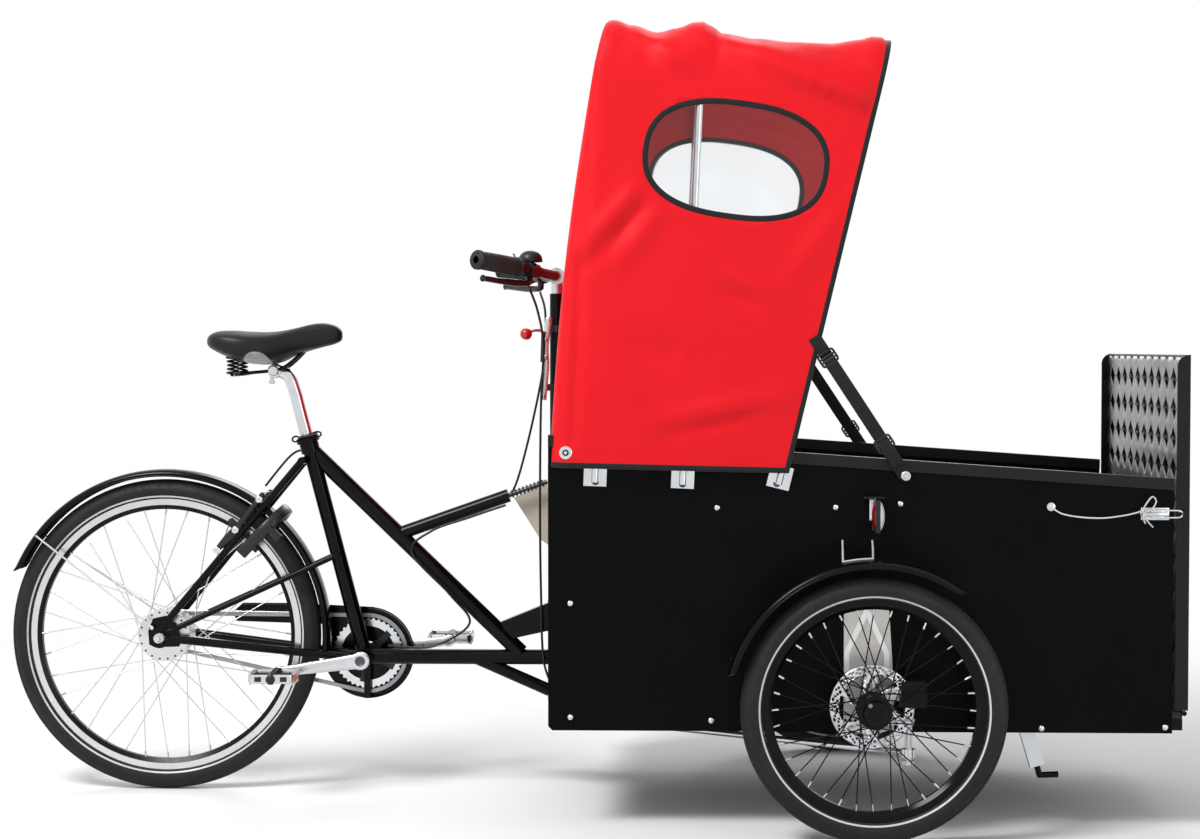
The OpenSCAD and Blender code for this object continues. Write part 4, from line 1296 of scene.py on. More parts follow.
@dataclass
class Hood:
    """Cloth hood: one sheet from hem over the roof to hem, a back sheet, bindings and grommets.

    Attributes:
        half_w: Half width over the cloth.
        shoulder_r: Radius of the rounded shoulders.
        roll_r: Radius of the rear corners.
        roll_share: Share of the way from the rear edge to the front edge that a corner takes.
        hem_z: Height of the hem at its rear and front ends.
        rear_foot: x and z of the rear edge's foot.
        rear_rise: x and z of the rear edge from foot to top.
        front_foot: x and z of the front edge's foot.
        front_rise: x and z of the front edge from foot to top.
        ridge: x and z along the middle of the roof.
        side_window: Opening in each side, by x and z.
        back_window: Opening in the back, by y and the distance up it.
        back_foot: x and z of the back's lower edge.
        back_tilt_deg: How far the back leans forward.
        thick: Thickness of the cloth.
        folds: Folds of the sides.
        bows: x and z of each bow's foot and top, which the cloth lies on.
    """

    half_w: float = 403.5
    shoulder_r: float = 94.5
    roll_r: float = 40
    roll_share: float = 0.1
    hem_z: Pair = (700, 690)
    rear_foot: Pair = (826, 700)
    rear_rise: Pair = (105, 863)
    front_foot: Pair = (1283, 690)
    front_rise: Pair = (200, 832)
    ridge: tuple[Pair, ...] = (
        (928, 1561), (950, 1561), (985, 1551), (1038, 1537), (1075, 1545), (1105, 1556), (1122, 1557),
        (1140, 1548), (1165, 1534), (1230, 1524), (1304, 1517), (1380, 1514), (1430, 1521), (1456, 1527),
        (1472, 1526), (1483, 1519))
    side_window: Oval = Oval((1182, 1284), (170, 106), 0.8, -8)
    back_window: Oval = Oval((0, 586), (250, 105), 0.5)
    back_foot: Pair = (846, 747)
    back_tilt_deg: float = 5.79
    thick: float = 2.0
    folds: tuple[Fold, ...] = (
        Fold((984, 1528), (1076, 1464), 6, 34, 9), Fold((1140, 1512), (1290, 1443), 8, 46, 13),
        Fold((1290, 1443), (1440, 1384), 7, 40, 11), Fold((1436, 1400), (1424, 1300), -3, 9),
        Fold((1040, 1270), (888, 1110), 4, 22), Fold((1020, 1225), (900, 1085), -4, 14),
        Fold((1040, 1190), (960, 1085), 3, 18), Fold((893, 1250), (872, 752), -4.5, 10),
        Fold((1040, 784), (1275, 832), 4, 24), Fold((1050, 765), (1240, 806), -3.5, 14),
        Fold((1165, 1040), (1225, 1008), -4, 14), Fold((1180, 1065), (1260, 1020), 3, 22),
        Fold((900, 960), (1010, 800), 3, 30), Fold((1300, 1180), (1380, 1240), -3, 16),
        Fold((1280, 1050), (1370, 1170), 2.5, 26), Fold((1000, 930), (1120, 900), -2.5, 26))
    bows: tuple[tuple[float, float, float, float], ...] = (
        (914, 684, 945, 1545), (1082, 680, 1119, 1543), (1268, 680, 1470, 1505))

    def rear_x(self, z: float) -> float:
        """Returns where the rear edge stands at a height, with its bulge."""
        t = (z - self.rear_foot[1]) / self.rear_rise[1]
        return self.rear_foot[0] + self.rear_rise[0] * t - 17 * math.sin(math.pi * min(1.0, max(0.0, t)))

    def front_x(self, z: float) -> float:
        """Returns where the front edge stands at a height."""
        return self.front_foot[0] + self.front_rise[0] * (z - self.front_foot[1]) / self.front_rise[1]

    def ridge_z(self, x: float) -> float:
        """Returns the roof's height at a place along it."""
        for (x0, z0), (x1, z1) in zip(self.ridge, self.ridge[1:]):
            if x <= x1:
                return mix(z0, z1, smooth((x - x0) / (x1 - x0)))
        return self.ridge[-1][1]

    def corner_r(self, z: float) -> float:
        """Returns the radius of the rear corner at a height, which is tighter over the rear bow."""
        return mix(self.roll_r, 16, smooth((z - 1280) / 200))

    def corner_turn(self, v: float) -> float:
        """Returns how far round the rear corner a place lies, up to a quarter turn."""
        return math.pi / 2 * min(1.0, v / self.roll_share)

    def across(self, v: float, z: float) -> float:
        """Returns x at a share of the way from the rear edge round its corner to the front edge."""
        rear, front, roll = self.rear_x(z), self.front_x(z), self.corner_r(z)
        flat = max(0.0, (v - self.roll_share) / (1 - self.roll_share))
        return rear + roll * (1 - math.cos(self.corner_turn(v))) + (front - rear - roll) * flat

    def lift(self, side: float, x: float, z: float) -> float:
        """Tells how far the folds lift the cloth of a side.

        Args:
            side: The side's sign, which changes the folds a little.
            x: Place along the side.
            z: Height on the side.

        Returns:
            The lift, outward.
        """
        calm = smooth((self.side_window.share(x, z) - 1.1) / 0.25)
        shift = 0 if side < 0 else 24
        drape = 1.6 * math.sin((x + 0.4 * z) / 57) * math.sin((z - 0.3 * x) / 83)
        rise = calm * (2.4 * sum(f.lift(x + shift, z) for f in self.folds) + drape)
        rise *= smooth((self.front_x(z) - x) / 34)
        near = min(abs(x - mix(x0, x1, (z - z0) / (z1 - z0))) for x0, z0, x1, z1 in self.bows)
        return max(rise, -2.0 - 0.22 * max(0.0, near - 10))

    def spot(self, u: float, v: float) -> tuple[Vector, Vector, Pair]:
        """Finds a place of the main sheet.

        Args:
            u: Share of the way from the right hem over the roof to the left hem.
            v: Share of the way from the rear edge to the front edge.

        Returns:
            The point in millimetres, the way that its outer face looks, and its place on the flat cut.
        """
        r = self.shoulder_r
        top = self.ridge_z(self.across(v, self.ridge[0][1]))
        hem = mix(self.hem_z[0], self.hem_z[1], v)
        wall, arc, flat = top - r - hem, r * math.pi / 2, 2 * (self.half_w - r)
        run = u * (2 * wall + 2 * arc + flat)
        side = -1.0 if u <= 0.5 else 1.0
        down = run if u <= 0.5 else 2 * wall + 2 * arc + flat - run
        if down <= wall:
            y, z, out = self.half_w, hem + down, Vector((0, side, 0))
        elif down <= wall + arc:
            a = (down - wall) / r
            y, z = self.half_w - r + r * math.cos(a), top - r + r * math.sin(a)
            out = Vector((0, side * math.cos(a), math.sin(a)))
        else:
            y, z, out = self.half_w - r - (down - wall - arc), top, Vector((0, 0, 1))
            z += 5 * (1 - (y / (self.half_w - r)) ** 2)
        x = self.across(v, z)
        point = Vector((x, side * y, z))
        blend = 1 - smooth((z - top + 0.45 * r) / (0.45 * r))
        point += out * (self.lift(side, x, z) * blend - self.corner_r(z) * (1 - math.sin(self.corner_turn(v))))
        return point, out, (run, x - self.rear_foot[0])

    def cloth(self, bm: Mesh, name: str, replaces: Sequence[str]) -> Object:
        """Returns a sheet as a piece of cloth that stands for some nodes."""
        return thicken(SHOP.piece(name, bm, RED_CANVAS, "frame", replaces, 60), self.thick)

    def build_main(self) -> Object:
        """Returns the sheet that makes the sides and the roof."""
        bm = bmesh.new()
        bmesh.ops.create_grid(bm, x_segments=190, y_segments=64, size=0.5)
        flat = bm.loops.layers.uv.new("cut")
        spots = {v: self.spot(v.co.x + 0.5, v.co.y + 0.5) for v in bm.verts}
        for vert, (point, _, cut) in spots.items():
            vert.co = point
            for loop in vert.link_loops:
                loop[flat].uv = (cut[0] * MM, cut[1] * MM)
        hole = [f for f in bm.faces if abs(f.calc_center_median().y) > self.half_w - 9
                and self.side_window.share(f.calc_center_median().x, f.calc_center_median().z) < 1]
        edge = {v for f in hole for v in f.verts if any(g not in hole for g in v.link_faces)}
        bmesh.ops.delete(bm, geom=hole, context="FACES")
        for vert in edge:
            x, z = self.side_window.onto(vert.co.x, vert.co.z)
            vert.co = (x, vert.co.y, z)
        for vert in bm.verts:
            vert.co = place(*vert.co)
        return self.cloth(bm, "hood_cloth", ("hood_roof", "hood_side_right", "hood_side_left"))

    def back_point(self, y: float, up: float) -> Vector:
        """Returns a point of the back's plane, in millimetres."""
        t = math.radians(self.back_tilt_deg)
        return Vector((self.back_foot[0] + up * math.sin(t), y, self.back_foot[1] + up * math.cos(t)))

    def build_back(self) -> Object:
        """Returns the back sheet, in rings from its outer edge to its window."""
        slope = math.cos(math.radians(self.back_tilt_deg))
        edge = [self.spot(k / 180, 0)[0] for k in range(181)]
        edge = [p for p in edge if p.z > self.back_foot[1] + 8]
        foot = [self.back_point(mix(edge[-1].y, edge[0].y, k / 40), 0) for k in range(1, 40)]
        outer = edge + foot
        rings = []
        for k in range(19):
            t = k / 18
            ring = []
            for p in outer:
                up = (p.z - self.back_foot[1]) / slope
                a, b = self.back_window.onto(p.y, up)
                q = self.back_point(mix(p.y, a, t), mix(up, b, t))
                wave = 2.2 * math.sin(q.y / 47) * math.sin(q.z / 90) * math.sin(math.pi * t)
                q.x = mix(p.x, q.x, smooth(t / 0.4)) + wave
                ring.append(place(*q))
            rings.append(ring)
        bm = loft(rings, capped=False)
        flat = bm.loops.layers.uv.new("cut")
        for face in bm.faces:
            for loop in face.loops:
                loop[flat].uv = (loop.vert.co.y, loop.vert.co.z)
        return self.cloth(bm, "hood_back_cloth", ("hood_back",))

    def bind(self, name: str, points: Sequence[Vector], faces: Sequence[Vector], width: float,
             closed: bool = False) -> Object:
        """Returns a black binding along points in millimetres, whose flat sides look as the cloth does."""
        strip = band([place(*p) for p in points], faces, width * MM, (self.thick + 1.8) * MM, closed)
        return SHOP.piece(name, strip, BLACK_BINDING, "frame")

    def build_bindings(self) -> list[Object]:
        """Returns the bindings of the hems, the front edge and the windows."""
        made = []
        front = [self.spot(k / 200, 0.992) for k in range(201)]
        made.append(self.bind("hood_front_binding", [s[0] for s in front], [s[1] for s in front], 10))
        for side in Side:
            u = 0.0016 if side is Side.RIGHT else 0.9984
            hem = [self.spot(u, k / 60) for k in range(61)]
            made.append(self.bind(f"hood_hem_binding_{side.word}", [s[0] for s in hem], [s[1] for s in hem], 11))
            ring = [Vector((x, side.value * self.half_w, z)) for x, z in self.side_window.outline(96, 1.5)]
            made.append(self.bind(f"hood_window_binding_{side.word}", ring, [Vector((0, side.value, 0))] * len(ring),
                                  11.5, True))
        t = math.radians(self.back_tilt_deg)
        away = Vector((-math.cos(t), 0, math.sin(t)))
        ring = [self.back_point(y, up) for y, up in self.back_window.outline(120, 1.5)]
        made.append(self.bind("hood_back_window_binding", ring, [away] * len(ring), 11.5, True))
        foot = [self.back_point(mix(-360, 360, k / 40), 4) for k in range(41)]
        made.append(self.bind("hood_back_hem_binding", foot, [away] * len(foot), 11))
        return made

    def build_grommets(self) -> list[Object]:
        """Returns the eyelet at the lower rear corner of each side, with its button."""
        ring = [(5.5, -1.6), (6.5, -2.6), (9.5, -2.8), (12.3, -1.6), (12.3, 1.6), (9.5, 2.8), (6.5, 2.6), (5.5, 1.6)]
        base = [(0.0, 0.4), (6.0, 0.4), (6.0, 2.2), (0.0, 2.2)]
        button = [(0.0, 2.0), (3.2, 2.0), (3.2, 3.4), (1.8, 4.6), (0.0, 4.6)]
        x, y, z = at = (858, self.half_w - 1, 727)
        made = []
        for side in Side:
            for name, bm, finish in (("grommet", turned(ring, 36, place(x, side.value * y, z)), BRIGHT_STEEL),
                                     ("button_base", stud(base, at, side, 24), LEVER_PLASTIC),
                                     ("button", stud(button, at, side, 20), BRIGHT_STEEL)):
                made.append(SHOP.piece(f"hood_{name}_{side.word}", bm, finish, "frame"))
        return made

    def build(self) -> None:
        """Makes the hood."""
        main = self.build_main()
        back = self.build_back()
        trims = self.build_bindings()
        trims += self.build_grommets()


@dataclass
class Saddle:
    """Padded saddle cover.

    Attributes:
        rows: x, half width, top and bottom of each section from rear to nose.
    """

    rows: tuple[tuple[float, float, float, float], ...] = (
        (97, 46, 948, 932), (104, 70, 956, 925), (118, 88, 962, 917), (145, 101, 964, 905), (180, 104, 962, 895),
        (215, 92, 961, 892), (245, 72, 963, 897), (275, 51, 969, 911), (305, 36, 976, 921), (330, 28, 979, 928),
        (350, 23, 977, 933), (364, 17, 971, 938), (371, 9, 963, 943))

    def section(self, row: Sequence[float]) -> Ring:
        """Returns the ring of one section, with a shallow channel along its top."""
        x, half, top, low = row
        ring = []
        for a in turns(40):
            c, s = math.cos(a), math.sin(a)
            y = half * bulge(c, 0.8)
            rise = 0.5 + 0.5 * bulge(s, 0.6)
            dip = 3.5 * math.exp(-(y / 17) ** 2) * smooth((half - 28) / 40) if s > 0 else 0
            ring.append(place(x, y, mix(low, top, rise) - dip))
        return ring

    def build(self) -> None:
        """Makes the cover in place of its node."""
        rows = curve_at([Vector(r) for r in self.rows], 5)
        x0, half, top, low = self.rows[0]
        x1, half1, top1, low1 = self.rows[-1]
        rows.insert(0, Vector((x0 - 1.6, half * 0.6, mix(low, top, 0.8), mix(low, top, 0.25))))
        rows.append(Vector((x1 + 1.5, half1 * 0.5, mix(low1, top1, 0.8), mix(low1, top1, 0.25))))
        bm = loft([self.section(r) for r in rows])
        cover = SHOP.piece("saddle_cover", bm, SADDLE_HIDE, "frame", ("saddle",), 50)


@dataclass
class Tyre:
    """Treaded tyre with a reflective line on each wall.

    Attributes:
        node: The tyre's node.
        body: The body that it rides on.
        radius: Outer radius.
        rim_r: Radius of the rim's edge.
        width: Width of the tyre.
        blocks: Tread blocks round the tyre.
    """

    node: str
    body: str
    radius: float
    rim_r: float
    width: float = 47
    blocks: int = 132

    def profile(self) -> list[Pair]:
        """Returns the section as radius and y, with a flatter bead and a lower base for the tread."""
        half = self.width / 2
        mid = self.radius - half
        bead = math.asin((mid - self.rim_r - 0.4) / half) if mid - self.rim_r < half else 1.2
        steps = 26
        points = []
        for k in range(steps + 1):
            a = -bead + (math.pi + 2 * bead) * k / steps
            r = half - (1.3 if 0.45 < a < math.pi - 0.45 else 0.0)
            points.append((mid + r * math.sin(a), r * math.cos(a)))
        return points

    def build(self) -> None:
        """Makes the tyre in place of its node."""
        middle = middle_of(self.node)
        bm = turned(self.profile(), self.blocks, middle)
        base = (self.radius - 8) * MM
        tread = [f for f in bm.faces if math.hypot(f.calc_center_median().x - middle.x,
                                                   f.calc_center_median().z - middle.z) > base]
        bmesh.ops.recalc_face_normals(bm, faces=bm.faces)
        bmesh.ops.inset_individual(bm, faces=tread, thickness=0.9 * MM, depth=1.2 * MM)
        SHOP.piece(self.node + "_tread", bm, TYRE_RUBBER, self.body, (self.node,), 40)
        half = self.width / 2
        mid = self.radius - half
        for side in Side:
            low, high = (math.asin((self.rim_r + d - mid) / half) for d in (4.0, 7.2))
            walls = [(low, -0.4), (low, 0.35), ((low + high) / 2, 0.55), (high, 0.35), (high, -0.4)]
            ring = [(mid + (half + d) * math.sin(a), side.value * (half + d) * math.cos(a)) for a, d in walls]
            SHOP.piece(f"{self.node}_line_{side.word}", turned(ring, 160, middle), REFLECTIVE, self.body)


@dataclass
class Straps:
    """Webbing straps that hold the hood's front edge down, each with two buckles.

    Attributes:
        top: Upper end at the hood's edge, on the right.
        foot: Lower end round its knob, on the right.
        width: Width of the webbing.
        thick: Thickness of the webbing.
    """

    top: Point = (1331, -406.6, 948)
    foot: Point = (1505, -397.5, 684)
    width: float = 25
    thick: float = 1.8

    def line(self, side: Side, start: float, end: float, lift: float, sag: float = 0.0) -> list[Vector]:
        """Runs along the strap.

        Args:
            side: The strap's side.
            start: Share of the way down where the line starts.
            end: Share where it ends.
            lift: Distance out from the strap's middle.
            sag: How far the line bows out halfway.

        Returns:
            The points, in metres.
        """
        made = []
        for k in range(25):
            t = k / 24
            p = Vector(self.top).lerp(Vector(self.foot), mix(start, end, t))
            out = lift + sag * math.sin(math.pi * t)
            made.append(place(p.x, side.value * (-p.y + out), p.z))
        return made

    def build_buckle(self, side: Side, share: float, number: int) -> Object:
        """Makes one sliding buckle.

        Args:
            side: The strap's side.
            share: Its place along the strap.
            number: Its number on the strap.

        Returns:
            The piece.
        """
        line = self.line(side, share - 0.03, share + 0.03, 3.2)
        run = (line[-1] - line[0]).normalized()
        out = Vector((0, side.value, 0))
        across = run.cross(out).normalized()
        middle = line[len(line) // 2]
        half_a, half_b = (self.width / 2 + 4) * MM, 13 * MM
        corners = [middle + across * (half_a * bulge(math.cos(a), 0.35)) + run * (half_b * bulge(math.sin(a), 0.35))
                   for a in turns(32)]
        parts = [band(corners, [out] * len(corners), 4.5 * MM, 5 * MM, True)]
        for shift in (-3.0, 4.0):
            ends = [middle + run * (shift * MM) + across * (half_a * d) for d in (-0.95, -0.4, 0.4, 0.95)]
            parts.append(tube(ends, 2.1 * MM, 10))
        return SHOP.piece(f"strap_buckle_{side.word}_{number}", join(parts), LEVER_PLASTIC, "frame")

    def build(self) -> None:
        """Makes both straps in place of their node."""
        for side in Side:
            out = Vector((0, side.value, 0))
            strap = self.line(side, 0, 1, 0)
            ply = self.line(side, 0.15, 0.79, 3.4, 4)
            tail = self.line(side, 0.76, 0.92, 6.2, 3)
            pieces = []
            for name, line in (("ply", ply), ("tail", tail)):
                bm = band(line, [out] * len(line), self.width * MM, self.thick * MM)
                pieces.append(SHOP.piece(f"strap_{name}_{side.word}", bm, WEBBING, "frame"))
            bm = band(strap, [out] * len(strap), self.width * MM, self.thick * MM)
            main = SHOP.piece(f"strap_{side.word}", bm, WEBBING, "frame",
                              ("hood_straps",) if side is Side.RIGHT else ())
            pieces += [self.build_buckle(side, 0.15, 1), self.build_buckle(side, 0.77, 2)]


@dataclass
class RampMesh:
    """Raised expanded metal on the ramp.

    Attributes:
        x: Middle plane of the sheet.
        half_y: Half width of the sheet.
        low: Height of its lower edge.
        high: Height of its upper edge.
        pitch: Width and height of one diamond.
        strand: Half width of a strand.
        twist: How far the strands lean out of the sheet.
        sheet: Thickness of the sheet.
    """

    x: float = 2041.3
    half_y: float = 375.5
    low: float = 238.5
    high: float = 909.5
    pitch: Pair = (68, 58)
    strand: float = 5.8
    twist: float = 1.5
    sheet: float = 2.2

    def build(self) -> None:
        """Makes the sheet in place of its node."""
        bm = bmesh.new()
        wide, tall = self.pitch
        zero = self.low - 0.5 + 48
        leaves = []
        for shift in (0, 0.5):
            for i in range(-7, 8):
                for j in range(-2, 13):
                    at = Matrix.Translation(place(self.x, wide * (i + shift), zero + tall * (j + shift)))
                    shape = at @ Matrix.Rotation(math.pi / 2, 4, "Y") @ Matrix.Diagonal(
                        (tall / 2 * MM, wide / 2 * MM, 1, 1))
                    bmesh.ops.create_circle(bm, cap_ends=True, segments=4, radius=1, matrix=shape)
                    bm.faces.ensure_lookup_table()
                    leaves += [bm.faces[-1]] if shift else []
        bmesh.ops.remove_doubles(bm, verts=bm.verts, dist=1e-5)
        cells = list(bm.faces)
        middles = [f.calc_center_median().z for f in cells]
        bmesh.ops.subdivide_edges(bm, edges=bm.edges, cuts=2, use_grid_fill=False)
        bmesh.ops.inset_individual(bm, faces=cells, thickness=self.strand * MM, depth=0)
        for face, middle in zip(cells, middles):
            for vert in face.verts:
                vert.co.x -= self.twist * MM * (vert.co.z - middle) / (tall / 2 * MM)
        bmesh.ops.delete(bm, geom=[f for f in cells if f not in leaves], context="FACES")
        bmesh.ops.poke(bm, faces=leaves, offset=-2.4 * MM)
        for at, out in ((place(0, self.half_y, 0), (0, 1, 0)), (place(0, -self.half_y, 0), (0, -1, 0)),
                        (place(0, 0, self.high), (0, 0, 1)), (place(0, 0, self.low), (0, 0, -1))):
            bmesh.ops.bisect_plane(bm, geom=bm.verts[:] + bm.edges[:] + bm.faces[:], plane_co=at, plane_no=out,
                                   clear_outer=True)
        thicken(SHOP.piece("ramp_expanded_metal", bm, MESH_STEEL, "ramp", ("ramp_mesh",), 25), self.sheet)


@dataclass
class Chain:
    """Roller chain round the chainring and the sprocket.

    Attributes:
        ring: x, z and radius of the chain's path round the chainring.
        sprocket: x, z and radius of its path round the sprocket.
        y: Middle plane of the chain.
        links: Number of links, which is even.
        roller: Sides, radius and length of a roller.
        pin: Sides, radius and length of a pin.
    """

    ring: Point = (418, 280, 80.8)
    sprocket: Point = (0, 326, 36.4)
    y: float = 51.5
    links: int = 94
    roller: tuple[int, float, float] = (10, 3.6, 4.2)
    pin: tuple[int, float, float] = (8, 1.7, 6.4)

    def path(self) -> list[Vector]:
        """Returns the pins' places round the loop, evenly spaced."""
        (x0, z0, r0), (x1, z1, r1) = self.sprocket, self.ring
        dx, dz = x1 - x0, z1 - z0
        lean = math.atan2(dz, dx)
        open_by = math.acos((r0 - r1) / math.hypot(dx, dz))
        line = []
        for x, z, r, a, b in ((x1, z1, r1, lean + open_by, lean - open_by),
                              (x0, z0, r0, lean - open_by, lean + open_by - 2 * math.pi)):
            for k in range(61):
                t = mix(a, b, k / 60)
                line.append(Vector((x + r * math.cos(t), self.y, z + r * math.sin(t))))
        line.append(line[0].copy())
        marks = [0.0]
        for p, q in zip(line, line[1:]):
            marks.append(marks[-1] + (q - p).length)
        pins, i = [], 0
        for k in range(self.links):
            want = marks[-1] * k / self.links
            while marks[i + 1] < want:
                i += 1
            pins.append(line[i].lerp(line[i + 1], (want - marks[i]) / (marks[i + 1] - marks[i])))
        return pins

    def plate(self, bm: Mesh, a: Vector, b: Vector, y: float) -> None:
        """Adds one side plate between two pins.

        Args:
            bm: The chain's mesh.
            a: First pin, in millimetres.
            b: Second pin.
            y: Inner face of the plate.
        """
        turn = Matrix.Rotation(math.pi / 2, 4, "X")
        verts: list[bmesh.types.BMVert] = []
        for pin in (a, b):
            at = Matrix.Translation(place(pin.x, y, pin.z)) @ turn
            verts += bmesh.ops.create_circle(bm, segments=12, radius=4.0 * MM, matrix=at)["verts"]
        hull = bmesh.ops.convex_hull(bm, input=verts)
        faces = [g for g in hull["geom"] if isinstance(g, bmesh.types.BMFace)]
        bmesh.ops.dissolve_limit(bm, angle_limit=0.1, verts=verts, edges=list({e for f in faces for e in f.edges}))

    def build(self) -> None:
        """Makes the chain in place of its node."""
        bm = bmesh.new()
        pins = self.path()
        for k, (a, b) in enumerate(zip(pins, pins[1:] + pins[:1])):
            for side in (-1, 1):
                near = 2.0 if k % 2 else 2.7
                for y in (near, near + 0.6):
                    self.plate(bm, a, b, self.y + side * y)
            at = Matrix.Translation(place(a.x, self.y, a.z)) @ Matrix.Rotation(math.pi / 2, 4, "X")
            for sides, r, depth in (self.roller, self.pin):
                bmesh.ops.create_cone(bm, cap_ends=True, segments=sides, radius1=r * MM, radius2=r * MM,
                                      depth=depth * MM, matrix=at)
        SHOP.piece("chain_links", bm, CHAIN_STEEL, "frame", ("chain",))


@dataclass
class Cables:
    """Control cables: two along the frame, and two from the handlebar to the frame.

    Attributes:
        rear: Routes along the frame.
        bar: Routes from the handlebar to the frame.
        radius: Radius of a cable.
    """

    rear: tuple[Line, ...] = (
        ((715, 22, 606), (640, 20, 580), (560, 20, 550), (480, 23, 548), (400, 24, 624), (330, 26, 706),
         (291, 28, 712), (258, 30, 700), (205, 24, 636)),
        ((716, -22, 600), (640, -20, 574), (560, -21, 545), (520, -23, 500), (600, -24, 412), (640, -24, 352),
         (560, -24, 304), (470, -26, 306)))
    bar: tuple[Line, ...] = (
        ((776, -194, 1047), (790, -140, 1000), (796, -50, 930), (790, -34, 800), (788, -34, 600), (790, -36, 420),
         (796, -46, 280), (820, -70, 222), (835, -80, 208)),
        ((776, 194, 1047), (790, 140, 1000), (792, 50, 900), (770, 44, 780), (740, 36, 660), (719, 24, 609)))
    radius: float = 2.5

    def run(self, routes: Iterable[Sequence[Sequence[float]]]) -> Mesh:
        """Returns the tubes of several routes."""
        return join(tube(run_through(r, 8), self.radius * MM, 12) for r in routes)

    def build(self) -> None:
        """Makes the cables in place of their nodes."""
        SHOP.piece("rear_cable_run", self.run(self.rear), CABLE_SLEEVE, "frame", ("rear_cables",))
        bent = SHOP.piece("bar_cable_run", self.run(self.bar), CABLE_SLEEVE, "", ("steering_cables",))
        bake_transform(bent)


@dataclass
class BarFittings:
    """Ribbed grips, lever blades and the bell.

    Attributes:
        grip_in: Inner end of the bar's last length, on the right.
        grip_out: Its outer end.
        lever: Middle line of a lever blade, on the right.
        bell: Foot of the bell.
    """

    grip_in: Point = (765, -235, 1086)
    grip_out: Point = (685, -330, 1098)
    lever: Line = (
        (776, -206, 1056), (752, -237, 1055), (726, -272, 1058), (700, -306, 1062), (692, -316, 1063))
    bell: Point = (778.5, -192.5, 1098.5)

    def build_grip(self, side: Side) -> None:
        """Makes the grip of one side."""
        a, b = (Vector(p) for p in side.turned_over((self.grip_in, self.grip_out)))
        start, end = a.lerp(b, 0.1), a.lerp(b, 1.045)
        length = (end - start).length
        profile = [(11.5, 0.0), (18.6, 0.0), (19.2, 1.0), (19.2, 4.0), (18.4, 5.0)]
        ribs = 17
        for k in range(ribs):
            s = mix(6, length - 11, k / ribs)
            step = (length - 17) / ribs
            swell = 0.8 * math.sin(math.pi * (k + 0.5) / ribs)
            profile += [(16.3 + swell, s), (17.5 + swell, s + step * 0.3), (17.5 + swell, s + step * 0.7),
                        (16.3 + swell, s + step * 0.97)]
        profile += [(18.2, length - 10), (19.4, length - 8), (19.4, length - 3), (18.0, length - 0.8),
                    (15.0, length), (0.0, length + 0.6)]
        SHOP.piece(f"grip_{side.word}", lathe(profile, start, end, 40), GRIP_RUBBER, "steering", crease=50)

    def build_lever(self, side: Side) -> None:
        """Makes the lever blade of one side."""
        line = run_through(side.turned_over(self.lever), 6)
        rings = []
        for i, p in enumerate(line):
            t = i / (len(line) - 1)
            run = (line[min(i + 1, len(line) - 1)] - line[max(i - 1, 0)]).normalized()
            flat = run.cross(Vector((0, 0, 1))).normalized()
            swell = 1 + 0.25 * smooth((t - 0.85) / 0.1)
            end = 0.55 if i in (0, len(line) - 1) else 1.0
            a, b = (mix(8.5, 6.2, t) * swell * end * MM, mix(6.4, 5.6, t) * swell * end * MM)
            rings.append([p + flat * (a * math.cos(q)) + run.cross(flat) * (b * math.sin(q))
                          for q in turns(16)])
        SHOP.piece(f"brake_lever_{side.word}", loft(rings), LEVER_PLASTIC, "steering", crease=50)

    def build_bell(self) -> None:
        """Makes the domed bell with its striker."""
        foot = Vector(self.bell)
        dome = [(0.0, 0.0), (23.0, 0.0), (24.0, 1.0), (24.0, 4.0)]
        dome += [(24 * math.cos(a), 4 + 20 * math.sin(a)) for a in (math.pi / 2 * k / 10 for k in range(1, 11))]
        SHOP.piece("bell_dome", lathe(dome, foot, foot + Vector((0, 0, 30)), 40), LEVER_PLASTIC, "steering", crease=50)
        arm = run_through(((756, -186, 1100), (748, -188, 1106), (744, -192, 1116)), 6)
        SHOP.piece("bell_striker", tube(arm, 2.2 * MM, 10), BRIGHT_STEEL, "steering")

    def build(self) -> None:
        """Makes every fitting."""
        for side in Side:
            self.build_grip(side)
            self.build_lever(side)
        self.build_bell()


@dataclass
class Nipples:
    """Spoke nipples of a laced wheel, set along its spokes.

    Attributes:
        name: The piece's name.
        body: The wheel's body.
        middle: Middle of the wheel, in millimetres.
        rim_r: Radius at which the spokes end.
        flange_r: Radius at which they start.
        flanges: y of the outer and inner hub flange.
        mirror: Sign that turns y over for a left wheel.
    """

    name: str
    body: str
    middle: Point
    rim_r: float
    flange_r: float
    flanges: Pair
    mirror: int = 1

    def build(self) -> None:
        """Makes the nipples."""
        parts = []
        for y, out, turn in ((self.flanges[0], -1, 0), (self.flanges[1], 1, 10)):
            for j in range(9):
                for step, ahead, lift, seat in ((0, 60, 2, 5.0), (20, -40, -2, 1.5)):
                    a = math.radians(40 * j + turn + step)
                    b = math.radians(40 * j + turn + ahead)
                    foot = Vector((self.flange_r * math.cos(a), y + lift * out, self.flange_r * math.sin(a)))
                    tip = Vector((self.rim_r * math.cos(b), seat * out, self.rim_r * math.sin(b)))
                    inner = tip + (foot - tip).normalized() * 13
                    ends = [place(self.middle[0] + p.x, self.middle[1] + self.mirror * p.y, self.middle[2] + p.z)
                            for p in (tip, tip.lerp(inner, 0.6), inner)]
                    parts.append(tube(ends, 1.9 * MM, 8))
        SHOP.piece(self.name, join(parts), BRIGHT_STEEL, self.body)


